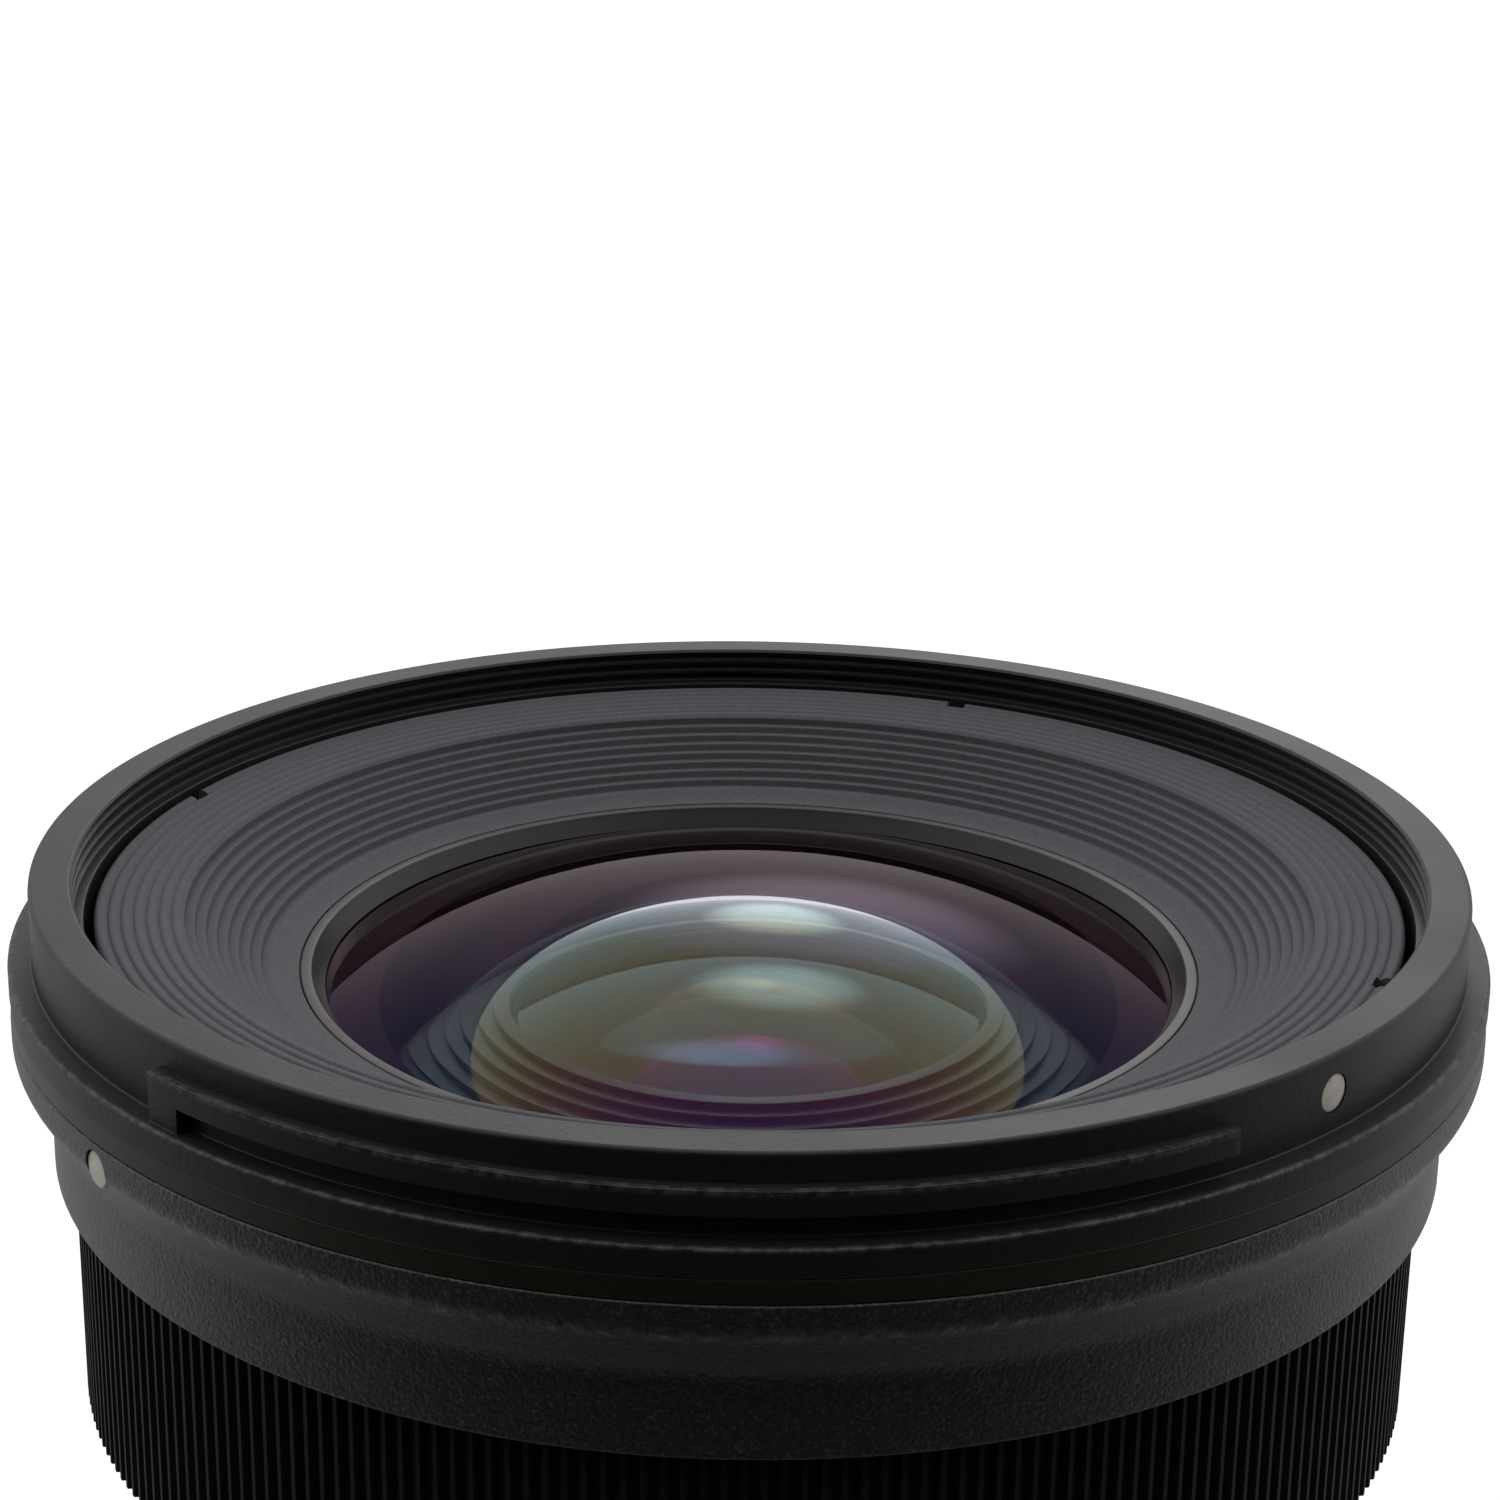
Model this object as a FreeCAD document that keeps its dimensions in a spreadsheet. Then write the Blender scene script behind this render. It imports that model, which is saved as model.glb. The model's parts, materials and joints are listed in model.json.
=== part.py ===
import FreeCAD, Part
import math
import os

import Sketcher

# Wide-angle zoom lens, in millimetres. +Z runs along the optical axis to the front, and the origin is
# the middle of the mount's bearing face. Angles are in degrees about +Z, from +X.

V = FreeCAD.Vector
UP = V(0, 0, 1)
doc = FreeCAD.newDocument("zoom_lens")
sheet = doc.addObject("Spreadsheet::Sheet", "Sizes")


# A length or angle that carries both its value and the expression it comes from.
class Size:
    def __init__(self, value, text):
        self.value = value
        self.text = text

    def join(self, other, sign, value, turned_round=False):
        text = other.text if isinstance(other, Size) else repr(other)
        pair = (text, self.text) if turned_round else (self.text, text)
        return Size(value, "(%s %s %s)" % (pair[0], sign, pair[1]))

    def __add__(self, other):
        return self.join(other, "+", self.value + number(other))

    def __radd__(self, other):
        return self.join(other, "+", number(other) + self.value, True)

    def __sub__(self, other):
        return self.join(other, "-", self.value - number(other))

    def __rsub__(self, other):
        return self.join(other, "-", number(other) - self.value, True)

    def __mul__(self, other):
        return self.join(other, "*", self.value * number(other))

    def __rmul__(self, other):
        return self.join(other, "*", number(other) * self.value, True)

    def __truediv__(self, other):
        return self.join(other, "/", self.value / number(other))


def number(size):
    return size.value if isinstance(size, Size) else float(size)


def text(size):
    return size.text if isinstance(size, Size) else repr(size)


def root(size):
    return Size(math.sqrt(size.value), "sqrt(%s)" % size.text)


def cosine(size):
    return Size(math.cos(math.radians(number(size))), "cos(%s)" % text(size))


def sine(size):
    return Size(math.sin(math.radians(number(size))), "sin(%s)" % text(size))


# How far a spherical surface has fallen at a distance from its vertex.
def sag(bend, reach):
    return bend - root(bend * bend - reach * reach)


rows = 0


def size(name, value):
    global rows
    rows += 1
    sheet.set("A%d" % rows, name)
    sheet.set("B%d" % rows, repr(value))
    sheet.setAlias("B%d" % rows, name)
    return Size(float(value), "Sizes." + name)


# Clearances and small edges that all the pieces share.
slide_gap = size("slide_gap", 0.3)
ring_gap = size("ring_gap", 0.3)
zoom_ring_slack = size("zoom_ring_slack", 0.1)
seat_gap = size("seat_gap", 0.05)
lens_gap = size("lens_gap", 0.05)
edge_break = size("edge_break", 0.15)
cut_margin = size("cut_margin", 0.5)

# Fixed and turning tubes, from the lens cells outward. Each radius stands on the one inside it.
guide_radius = size("guide_radius", 31.3)
guide_wall = size("guide_wall", 1.3)
guide_flange_height = size("guide_flange_height", 1.5)
cam_wall = size("cam_wall", 1.2)
cam_room = size("cam_room", 1.2)
motor_inner_gap = size("motor_inner_gap", 0.6)
motor_width = size("motor_width", 4.0)
motor_outer_gap = size("motor_outer_gap", 0.4)
barrel_front_wall = size("barrel_front_wall", 1.2)
barrel_rear_wall = size("barrel_rear_wall", 1.2)
barrel_flange_height = size("barrel_flange_height", 1.5)
shoulder_height = size("shoulder_height", 1.4)
focus_core_wall = size("focus_core_wall", 0.8)
grip_thickness = size("grip_thickness", 1.2)
zoom_core_wall = size("zoom_core_wall", 1.6)
zoom_grip_thickness = size("zoom_grip_thickness", 1.4)
zoom_rim_step = size("zoom_rim_step", 0.3)
pin_radius = size("pin_radius", 1.0)
pin_gap = size("pin_gap", 0.3)

guide_bore = guide_radius - guide_wall
cam_bore = guide_radius + ring_gap
cam_radius = cam_bore + cam_wall
motor_bore = cam_radius + motor_inner_gap
motor_radius = motor_bore + motor_width
barrel_front_bore = motor_radius + motor_outer_gap
barrel_front_radius = barrel_front_bore + barrel_front_wall
barrel_rear_bore = cam_radius + cam_room
barrel_rear_radius = barrel_rear_bore + barrel_rear_wall
focus_grip_bore = barrel_front_radius + ring_gap + focus_core_wall
focus_grip_radius = focus_grip_bore + grip_thickness
zoom_bore = barrel_rear_radius + ring_gap + zoom_ring_slack
zoom_ring_radius = zoom_bore + zoom_core_wall
zoom_grip_radius = zoom_ring_radius + zoom_grip_thickness
zoom_rim_radius = zoom_grip_radius - zoom_rim_step
slot_width = 2 * (pin_radius + pin_gap)

# Outside of the front: the cover steps out from the focus ring, and the rim stands on its flange.
cover_step = size("cover_step", 1.13)
cover_taper_step = size("cover_taper_step", 2.07)
cover_wall = size("cover_wall", 1.3)
band_setback = size("band_setback", 0.05)
flange_reach = size("flange_reach", 1.4)
lug_reach = size("lug_reach", 0.9)
rim_wall = size("rim_wall", 2.1)
thread_pitch = size("thread_pitch", 0.75)
thread_turns = 3
thread_length = size("thread_length", 2.35)
thread_seat = size("thread_seat", 1.0)
cover_lower_radius = focus_grip_radius + cover_step
outer_radius = cover_lower_radius + cover_taper_step
band_radius = outer_radius - band_setback
rim_radius = outer_radius - flange_reach
lug_radius = rim_radius + lug_reach
thread_radius = rim_radius - rim_wall
thread_crest = thread_radius - 0.5413 * thread_pitch
baffle_bore_radius = thread_radius - thread_seat

# Rear of the lens.
mount_radius = size("mount_radius", 32.5)
mount_thickness = size("mount_thickness", 2.4)
mount_relief = size("mount_relief", 0.3)
bearing_width = size("bearing_width", 4.9)
mount_tube_step = size("mount_tube_step", 2.2)
mount_tube_wall = size("mount_tube_wall", 1.4)
mount_tube_depth = size("mount_tube_depth", 6.4)
bayonet_reach = size("bayonet_reach", 1.5)
bayonet_lug_arc = size("bayonet_lug_arc", 55.0)
bayonet_lug_top = size("bayonet_lug_top", -2.7)
bayonet_lug_height = size("bayonet_lug_height", 1.6)
lock_hole_radius = size("lock_hole_radius", 1.5)
lock_hole_depth = size("lock_hole_depth", 1.6)
mount_screw_inset = size("mount_screw_inset", 2.6)
mount_screw_radius = size("mount_screw_radius", 0.85)
mount_screw_head = size("mount_screw_head", 1.75)
mount_screw_length = size("mount_screw_length", 5.2)
cross_length = size("cross_length", 1.8)
cross_width = size("cross_width", 0.35)
cross_depth = size("cross_depth", 0.45)
shim_thickness = size("shim_thickness", 0.1)
rear_end_step = size("rear_end_step", 0.9)
rear_barrel_setback = size("rear_barrel_setback", 1.0)
rear_lip_height = size("rear_lip_height", 1.6)
rear_taper_top = size("rear_taper_top", 12.0)
rear_band_height = size("rear_band_height", 9.9)
rear_shell_wall = size("rear_shell_wall", 1.5)
rear_floor = size("rear_floor", 2.0)
shelf_thickness = size("shelf_thickness", 1.5)
shelf_reach = size("shelf_reach", 2.2)

bearing_inner_radius = mount_radius - bearing_width
mount_tube_radius = bearing_inner_radius - mount_tube_step
bayonet_radius = mount_tube_radius + bayonet_reach
mount_tube_bore = mount_tube_radius - mount_tube_wall
mount_screw_circle = mount_radius - mount_screw_inset
rear_opening_radius = mount_tube_radius + 4 * seat_gap
rear_end_radius = mount_radius + rear_end_step
rear_barrel_radius = zoom_grip_radius - rear_barrel_setback
rear_barrel_top = rear_taper_top + rear_band_height
shim_top = mount_thickness + shim_thickness
rear_floor_top = shim_top + rear_floor
shelf_top = rear_taper_top
shelf_low = shelf_top - shelf_thickness
shelf_bore = barrel_rear_radius - shelf_reach
barrel_rear_end = shelf_top + guide_flange_height
rear_bore = barrel_rear_radius + seat_gap

# Heights of the sections, from the rear barrel up to the rim.
zoom_ring_length = size("zoom_ring_length", 20.8)
zoom_scale_height = size("zoom_scale_height", 3.4)
zoom_foot_height = size("zoom_foot_height", 1.2)
window_barrel_length = size("window_barrel_length", 12.36)
focus_ring_length = size("focus_ring_length", 15.2)
cover_lower_height = size("cover_lower_height", 5.05)
cover_taper_height = size("cover_taper_height", 2.99)
cover_wall_height = size("cover_wall_height", 1.8)
band_height = size("band_height", 1.44)
flange_height = size("flange_height", 1.65)
rim_height = size("rim_height", 4.51)
skirt_length = size("skirt_length", 3.44)
lug_drop = size("lug_drop", 1.65)
lug_height = size("lug_height", 1.42)
zoom_ring_low = rear_barrel_top + ring_gap
zoom_ring_top = zoom_ring_low + zoom_ring_length
zoom_grip_low = zoom_ring_low + zoom_foot_height
zoom_grip_top = zoom_ring_top - zoom_scale_height
window_barrel_low = zoom_ring_top + ring_gap
shoulder_low = window_barrel_low + window_barrel_length
shoulder_top = shoulder_low + shoulder_height
focus_ring_low = shoulder_top
focus_ring_top = focus_ring_low + focus_ring_length
cover_low = focus_ring_top + ring_gap
cover_taper_low = cover_low + cover_lower_height
cover_wall_low = cover_taper_low + cover_taper_height
band_low = cover_wall_low + cover_wall_height
flange_low = band_low + band_height
flange_top = flange_low + flange_height
overall_length = flange_top + rim_height
skirt_low = flange_low - skirt_length
thread_low = overall_length - thread_length
lug_top = overall_length - lug_drop
lug_low = lug_top - lug_height

# Arcs and painted marks.
lug_arc = size("lug_arc", 80.0)
lug_angle = size("lug_angle", -95.35)
lug_stop_arc = size("lug_stop_arc", 3.2)
dot_radius = size("dot_radius", 1.1)
dot_depth = size("dot_depth", 0.3)
hood_dot_angle = size("hood_dot_angle", -44.5)
hood_dot_drop = size("hood_dot_drop", 2.3)
top_angle = size("top_angle", -142.0)
mount_dot_rise = size("mount_dot_rise", 3.7)
mount_dot_proud = size("mount_dot_proud", 0.8)
mount_dot_height = shim_top + mount_dot_rise
mount_dot_face = rear_end_radius + mount_dot_proud

# How far the rings turn and the lens groups travel.
focus_turn = size("focus_turn", 90.0)
focus_travel = size("focus_travel", 2.5)
zoom_turn = size("zoom_turn", 70.0)
front_travel = size("front_travel", 5.0)
middle_travel = size("middle_travel", 6.0)
rear_travel = size("rear_travel", 9.0)


def place(thing, angle=0.0, low=0.0, radius=0.0):
    thing.Placement = FreeCAD.Placement(V(0, 0, 0), FreeCAD.Rotation(UP, number(angle)))
    thing.setExpression("Placement.Rotation.Angle", text(angle))
    thing.setExpression("Placement.Base.x", text(radius * cosine(angle)))
    thing.setExpression("Placement.Base.y", text(radius * sine(angle)))
    thing.setExpression("Placement.Base.z", text(low))
    return thing


# A closed outline of (radius, height) corners turned about the optical axis. A corner may also name the
# side and the radius of the arc that leads to the next one. A part turn lies evenly about its angle.
def turned(name, corners, sweep=360.0, angle=0.0):
    body = doc.addObject("PartDesign::Body", name)
    sketch = body.newObject("Sketcher::SketchObject", name + "_outline")
    plane = [item for item in body.Origin.OriginFeatures if item.Role == "XZ_Plane"][0]
    sketch.AttachmentSupport = [(plane, "")]
    sketch.MapMode = "FlatFace"
    ends = []
    for index, corner in enumerate(corners):
        following = corners[(index + 1) % len(corners)]
        here = V(number(corner[0]), number(corner[1]), 0)
        there = V(number(following[0]), number(following[1]), 0)
        if len(corner) == 2:
            sketch.addGeometry(Part.LineSegment(here, there), False)
            ends.append((1, 2))
            continue
        side, bend = corner[2], corner[3]
        chord = there - here
        height = math.sqrt(bend.value ** 2 - (chord.Length / 2) ** 2)
        inward = V(-chord.y, chord.x, 0).normalize() * (height if side == "left" else -height)
        centre = (here + there) * 0.5 + inward
        first, last = (here, there) if side == "left" else (there, here)
        start = math.atan2(first.y - centre.y, first.x - centre.x)
        finish = math.atan2(last.y - centre.y, last.x - centre.x)
        if finish < start:
            finish += 2 * math.pi
        sketch.addGeometry(Part.ArcOfCircle(Part.Circle(centre, UP, bend.value), start, finish), False)
        ends.append((1, 2) if side == "left" else (2, 1))
    rules = []
    for index, corner in enumerate(corners):
        following = (index + 1) % len(corners)
        sketch.addConstraint(Sketcher.Constraint("Coincident", index, ends[index][1], following,
                                                 ends[following][0]))
        for axis, value, crossing in (("DistanceX", corner[0], -2), ("DistanceY", corner[1], -1)):
            if not isinstance(value, Size) and value == 0:
                rule = Sketcher.Constraint("PointOnObject", index, ends[index][0], crossing)
                sketch.addConstraint(rule)
            else:
                rule = Sketcher.Constraint(axis, -1, 1, index, ends[index][0], number(value))
                rules.append((sketch.addConstraint(rule), value))
        if len(corner) > 2:
            rule = Sketcher.Constraint("Radius", index, corner[3].value)
            rules.append((sketch.addConstraint(rule), corner[3]))
    for rule, value in rules:
        sketch.setExpression("Constraints[%d]" % rule, text(value))
    turning = body.newObject("PartDesign::Revolution", name + "_turning")
    turning.Profile = sketch
    turning.ReferenceAxis = (sketch, ["V_Axis"])
    if number(sweep) < 360:
        turning.setExpression("Angle", text(sweep))
        turning.Midplane = True
    else:
        turning.Angle = 360.0
    sketch.Visibility = False
    return place(body, angle) if number(sweep) < 360 else body


# A plain tube between two radii and two heights, or a part of one.
def tube(name, inner, outer, low, high, sweep=360.0, angle=0.0):
    return turned(name, [(inner, low), (outer, low), (outer, high), (inner, high)], sweep, angle)


# A block that lies along a radius.
def radial_block(name, inner, outer, width, low, high, angle):
    block = doc.addObject("Part::Box", name)
    block.setExpression("Length", text(outer - inner))
    block.setExpression("Width", text(width))
    block.setExpression("Height", text(high - low))
    place(block, angle, low)
    block.setExpression("Placement.Base.x", text(inner * cosine(angle) + width / 2 * sine(angle)))
    block.setExpression("Placement.Base.y", text(inner * sine(angle) - width / 2 * cosine(angle)))
    return block


# A round pin along a radius.
def radial_pin(name, inner, outer, radius, height, angle):
    pin = doc.addObject("Part::Cylinder", name)
    pin.setExpression("Radius", text(radius))
    pin.setExpression("Height", text(outer - inner))
    lie = FreeCAD.Rotation(UP, number(angle)).multiply(FreeCAD.Rotation(V(0, 1, 0), 90))
    pin.Placement = FreeCAD.Placement(V(0, 0, 0), lie)
    pin.setExpression("Placement.Base.x", text(inner * cosine(angle)))
    pin.setExpression("Placement.Base.y", text(inner * sine(angle)))
    pin.setExpression("Placement.Base.z", text(height))
    return pin


# A round post along the optical axis.
def post(name, radius, low, high, circle, angle):
    peg = doc.addObject("Part::Cylinder", name)
    peg.setExpression("Radius", text(radius))
    peg.setExpression("Height", text(high - low))
    return place(peg, angle, low, circle)


def together(name, shapes):
    group = doc.addObject("Part::MultiFuse", name)
    group.Shapes = shapes
    return group


def without(name, base, tools):
    cut = doc.addObject("Part::Cut", name)
    cut.Base = base
    cut.Tool = tools[0] if len(tools) == 1 else together(name + "_cutters", tools)
    return cut


def apart(name, shapes):
    group = doc.addObject("Part::Compound", name)
    group.Links = shapes
    return group


nodes = []
rear_screws = []  # of the rear barrel and of the mount: one node, a solid for each screw


def node(thing, label):
    thing.Label = label
    nodes.append(thing)
    return thing


# Filter ring: rim with the filter thread inside, a flange and two hood lugs, each with a stop at one end.
def filter_ring():
    corners = [(baffle_bore_radius, skirt_low), (baffle_bore_radius, thread_low), (thread_crest, thread_low)]
    for turn in range(thread_turns):
        low = thread_low + turn * thread_pitch
        corners += [(thread_crest, low + 0.125 * thread_pitch), (thread_radius, low + 0.4375 * thread_pitch),
                    (thread_radius, low + 0.5625 * thread_pitch), (thread_crest, low + 0.875 * thread_pitch)]
    skirt_radius = baffle_bore_radius + cover_wall - edge_break
    corners += [(thread_crest, overall_length - edge_break), (thread_crest + edge_break, overall_length),
                (rim_radius - edge_break, overall_length), (rim_radius, overall_length - edge_break),
                (rim_radius, flange_top), (outer_radius - edge_break, flange_top),
                (outer_radius, flange_top - edge_break), (outer_radius, flange_low + edge_break),
                (outer_radius - edge_break, flange_low), (skirt_radius, flange_low),
                (skirt_radius, skirt_low)]
    blank = turned("filter_ring_blank", corners)
    inner = rim_radius - edge_break
    parts = [blank]
    for index in range(2):
        angle = lug_angle + 180 * index
        stop_angle = angle - lug_arc / 2 + lug_stop_arc / 2
        parts.append(tube("hood_lug_%d" % (index + 1), inner, lug_radius, lug_low, lug_top, lug_arc, angle))
        parts.append(tube("hood_stop_%d" % (index + 1), inner, lug_radius, flange_top - edge_break, lug_top,
                          lug_stop_arc, stop_angle))
    dot = radial_pin("hood_dot_recess", rim_radius - dot_depth, lug_radius, dot_radius,
                     overall_length - hood_dot_drop, hood_dot_angle)
    return node(without("filter_ring_cut", together("filter_ring_lugs", parts), [dot]), "filter_ring")


# Trim band: a plain painted ring between the flange and the cover.
def trim_band():
    inner = baffle_bore_radius + cover_wall
    return node(turned("trim_band_ring", [
        (inner, band_low), (band_radius - edge_break, band_low), (band_radius, band_low + edge_break),
        (band_radius, flange_low - edge_break), (band_radius - edge_break, flange_low), (inner, flange_low)]),
        "trim_band")


# Front cover: shell that steps in over the main barrel's front flange and tapers to the focus ring.
def front_cover():
    bore = baffle_bore_radius + cover_wall
    flange_bottom = skirt_low - barrel_flange_height
    lower_bore = cover_lower_radius - 1.5 * cover_wall
    lip = barrel_front_radius + 2 * seat_gap
    lip_top = cover_low + cover_wall
    blank = turned("front_cover_shell", [
        (bore, band_low), (bore, flange_bottom), (lower_bore, flange_bottom), (lower_bore, lip_top),
        (lip, lip_top), (lip, cover_low), (cover_lower_radius - edge_break, cover_low),
        (cover_lower_radius, cover_low + edge_break), (cover_lower_radius, cover_taper_low),
        (outer_radius, cover_wall_low), (outer_radius, band_low - edge_break),
        (outer_radius - edge_break, band_low)])
    dot = radial_pin("cover_dot_recess", outer_radius - 3 * dot_depth, outer_radius + 1.0, dot_radius,
                     cover_wall_low + dot_depth, top_angle)
    return node(without("front_cover_cut", blank, [dot]), "front_cover")


# Index dots: paint-filled pits. Two line up when the hood is turned home, and one marks the mount.
def index_dots():
    hood = radial_pin("hood_dot_fill", rim_radius - dot_depth, rim_radius - seat_gap, dot_radius,
                      overall_length - hood_dot_drop, hood_dot_angle)
    cover = radial_pin("cover_dot_fill", outer_radius - 3 * dot_depth, outer_radius - dot_depth / 3,
                       dot_radius, cover_wall_low + dot_depth, top_angle)
    mount = radial_pin("mount_dot_fill", rear_end_radius - dot_depth, mount_dot_face, dot_radius,
                       mount_dot_height, top_angle)
    return node(apart("index_dot_fills", [hood, cover, mount]), "index_dots")


# Main barrel: the fixed tube that carries everything. Its wide front room holds the focusing motor, and
# its narrow rear is the bearing of the zoom ring. Three arc slots let the keys of the turning rings through.
key_angle = top_angle + 180
barrel_screw_radius = size("barrel_screw_radius", 0.8)
barrel_screw_head = size("barrel_screw_head", 1.5)
barrel_screw_rise = size("barrel_screw_rise", 5.0)
barrel_screw_height = shelf_top + barrel_screw_rise
key_arc = size("key_arc", 10.0)
key_clearance_arc = size("key_clearance_arc", 4.0)
tab_arc = size("tab_arc", 8.0)
zoom_key_rise = size("zoom_key_rise", 6.6)
zoom_key_low = zoom_grip_low + zoom_key_rise
zoom_key_height = size("zoom_key_height", 3.0)
manual_ring_height = size("manual_ring_height", 2.0)
manual_ring_low = shoulder_top + 2 * ring_gap
manual_ring_top = manual_ring_low + manual_ring_height
carrier_low = manual_ring_top + ring_gap
drum_wall = size("drum_wall", 0.6)
drum_gap = size("drum_gap", 0.6)
window_barrel_step = size("window_barrel_step", 0.1)
window_barrel_wall = size("window_barrel_wall", 1.3)
window_barrel_radius = zoom_rim_radius + window_barrel_step
window_barrel_bore = window_barrel_radius - window_barrel_wall
drum_radius = window_barrel_bore - drum_gap
drum_turn = focus_turn / 2


def main_barrel():
    blank = turned("main_barrel_tube", [
        (barrel_front_bore, skirt_low), (barrel_front_bore, shoulder_top), (barrel_rear_bore, shoulder_top),
        (barrel_rear_bore, barrel_rear_end), (barrel_rear_radius, barrel_rear_end),
        (barrel_rear_radius, shoulder_low), (barrel_front_radius, shoulder_low),
        (barrel_front_radius, skirt_low - barrel_flange_height),
        (baffle_bore_radius + cover_wall - seat_gap, skirt_low - barrel_flange_height),
        (baffle_bore_radius + cover_wall - seat_gap, skirt_low)])
    focus_slot = tube("focus_key_slot", barrel_front_bore - cut_margin, barrel_front_radius + cut_margin,
                      manual_ring_low - slide_gap, manual_ring_top + slide_gap,
                      focus_turn + key_arc + key_clearance_arc, key_angle + focus_turn / 2)
    zoom_slot = tube("zoom_key_slot", barrel_rear_bore - cut_margin, barrel_rear_radius + cut_margin,
                     zoom_key_low - 2 * slide_gap, zoom_key_low + zoom_key_height + 2 * slide_gap,
                     zoom_turn + key_arc + key_clearance_arc, key_angle + zoom_turn / 2)
    drum_slot = tube("drum_tab_slot", drum_radius - drum_wall - slide_gap, drum_radius + slide_gap,
                     shoulder_low - cut_margin, shoulder_top + cut_margin,
                     drum_turn + tab_arc + key_clearance_arc, top_angle + drum_turn / 2)
    screws = [radial_pin("barrel_screw_hole_%d" % index, barrel_rear_bore - cut_margin,
                         barrel_rear_radius + cut_margin, barrel_screw_radius + seat_gap,
                         barrel_screw_height, top_angle + 60 + 120 * index)
              for index in range(3)]
    return node(without("main_barrel_cut", blank, [focus_slot, zoom_slot, drum_slot] + screws), "main_barrel")


# Followers and their straight and helical slots. Each group of lenses has three followers.
focus_cam_sink = size("focus_cam_sink", 2.06)
cam_tube_spacing = size("cam_tube_spacing", 1.0)
cam_tube_foot = size("cam_tube_foot", 0.7)
front_pin_sink = size("front_pin_sink", 4.0)
middle_pin_rise = size("middle_pin_rise", 8.0)
rear_pin_sink = size("rear_pin_sink", 0.9)
focus_pin_rise = size("focus_pin_rise", 2.94)
focus_cam_low = shoulder_top - focus_cam_sink
cam_tube_top = focus_cam_low - cam_tube_spacing
cam_tube_low = barrel_rear_end + cam_tube_foot
front_pin_height = cam_tube_top - front_pin_sink
middle_pin_height = zoom_key_low + middle_pin_rise
rear_pin_height = rear_barrel_top - rear_pin_sink
focus_pin_height = focus_ring_low + focus_pin_rise
front_pin_angle = size("front_pin_angle", 0.0)
middle_pin_angle = size("middle_pin_angle", 40.0)
rear_pin_angle = size("rear_pin_angle", 80.0)
focus_pin_angle = size("focus_pin_angle", 60.0)
cell_gap = size("cell_gap", 0.3)
cell_radius = guide_bore - cell_gap


def straight_slots(name, inner, outer, low, high, angle, count=3):
    return [radial_block("%s_%d" % (name, index + 1), inner, outer, slot_width, low - slot_width / 2,
                         high + slot_width / 2, angle + 120 * index) for index in range(count)]


# A slot through a tube's wall that climbs evenly while the tube turns, cut past both ends of the
# follower's way. Its centre line starts at the follower's place at rest and runs against the tube's turn.
def helical_slots(name, inner, outer, start, climb, turn, angle):
    middle = (number(inner) + number(outer)) / 2
    depth = number(outer) - number(inner) + 1.0
    width = number(slot_width)
    spare = math.degrees(width / 2 / middle)
    whole_turn = number(turn) + 2 * spare
    rise = abs(number(climb)) * whole_turn / number(turn)
    low_end = min(number(start), number(start + climb)) - (rise - abs(number(climb))) / 2
    rising = number(climb) > 0
    helix = Part.makeHelix(rise * 360 / whole_turn, rise, middle, 0, rising)
    first = helix.Edges[0]
    base = first.valueAt(first.FirstParameter)
    along = first.tangentAt(first.FirstParameter).normalize()
    outward = V(base.x, base.y, 0).normalize()
    across = along.cross(outward).normalize()
    corners = [base + outward * (depth / 2 * a) + across * (width / 2 * b)
               for a, b in ((-1, -1), (1, -1), (1, 1), (-1, 1), (-1, -1))]
    slot = Part.Wire(helix.Edges).makePipeShell([Part.makePolygon(corners)], True, True)
    tools = []
    for index in range(3):
        # The helix starts at its low end. A rising follower starts there, and a sinking one ends there.
        turn_to = number(angle) + 120 * index + (spare if rising else -number(turn) - spare)
        tool = doc.addObject("Part::Feature", "%s_%d" % (name, index + 1))
        tool.Shape = slot
        tool.Placement = FreeCAD.Placement(V(0, 0, low_end), FreeCAD.Rotation(UP, turn_to))
        tools.append(tool)
    return tools


# Guide tube: fixed inner tube whose straight slots keep the lens groups from turning.
def guide_tube():
    top = focus_ring_top + 1.0
    blank = turned("guide_tube_tube", [
        (guide_bore, shelf_top), (barrel_rear_radius, shelf_top), (barrel_rear_radius, barrel_rear_end),
        (guide_radius, barrel_rear_end), (guide_radius, top), (guide_bore, top)])
    inner, outer = guide_bore - cut_margin, guide_radius + cut_margin
    slots = straight_slots("front_guide_slot", inner, outer, front_pin_height - front_travel,
                           front_pin_height, front_pin_angle)
    slots += straight_slots("middle_guide_slot", inner, outer, middle_pin_height,
                            middle_pin_height + middle_travel, middle_pin_angle)
    slots += straight_slots("rear_guide_slot", inner, outer, rear_pin_height, rear_pin_height + rear_travel,
                            rear_pin_angle)
    slots += straight_slots("focus_guide_slot", inner, outer, focus_pin_height - focus_travel,
                            focus_pin_height, focus_pin_angle)
    return node(without("guide_tube_cut", blank, slots), "guide_tube")


# Cam tube: turns with the zoom ring, and its helical slots drive the three zooming groups.
def cam_tube():
    blank = tube("cam_tube_tube", cam_bore, cam_radius, cam_tube_low, cam_tube_top)
    slots = helical_slots("front_cam", cam_bore, cam_radius, front_pin_height, -1 * front_travel, zoom_turn,
                          front_pin_angle)
    slots += helical_slots("middle_cam", cam_bore, cam_radius, middle_pin_height, middle_travel, zoom_turn,
                           middle_pin_angle)
    slots += helical_slots("rear_cam", cam_bore, cam_radius, rear_pin_height, rear_travel, zoom_turn,
                           rear_pin_angle)
    return node(without("cam_tube_cut", blank, slots), "cam_tube")


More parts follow.
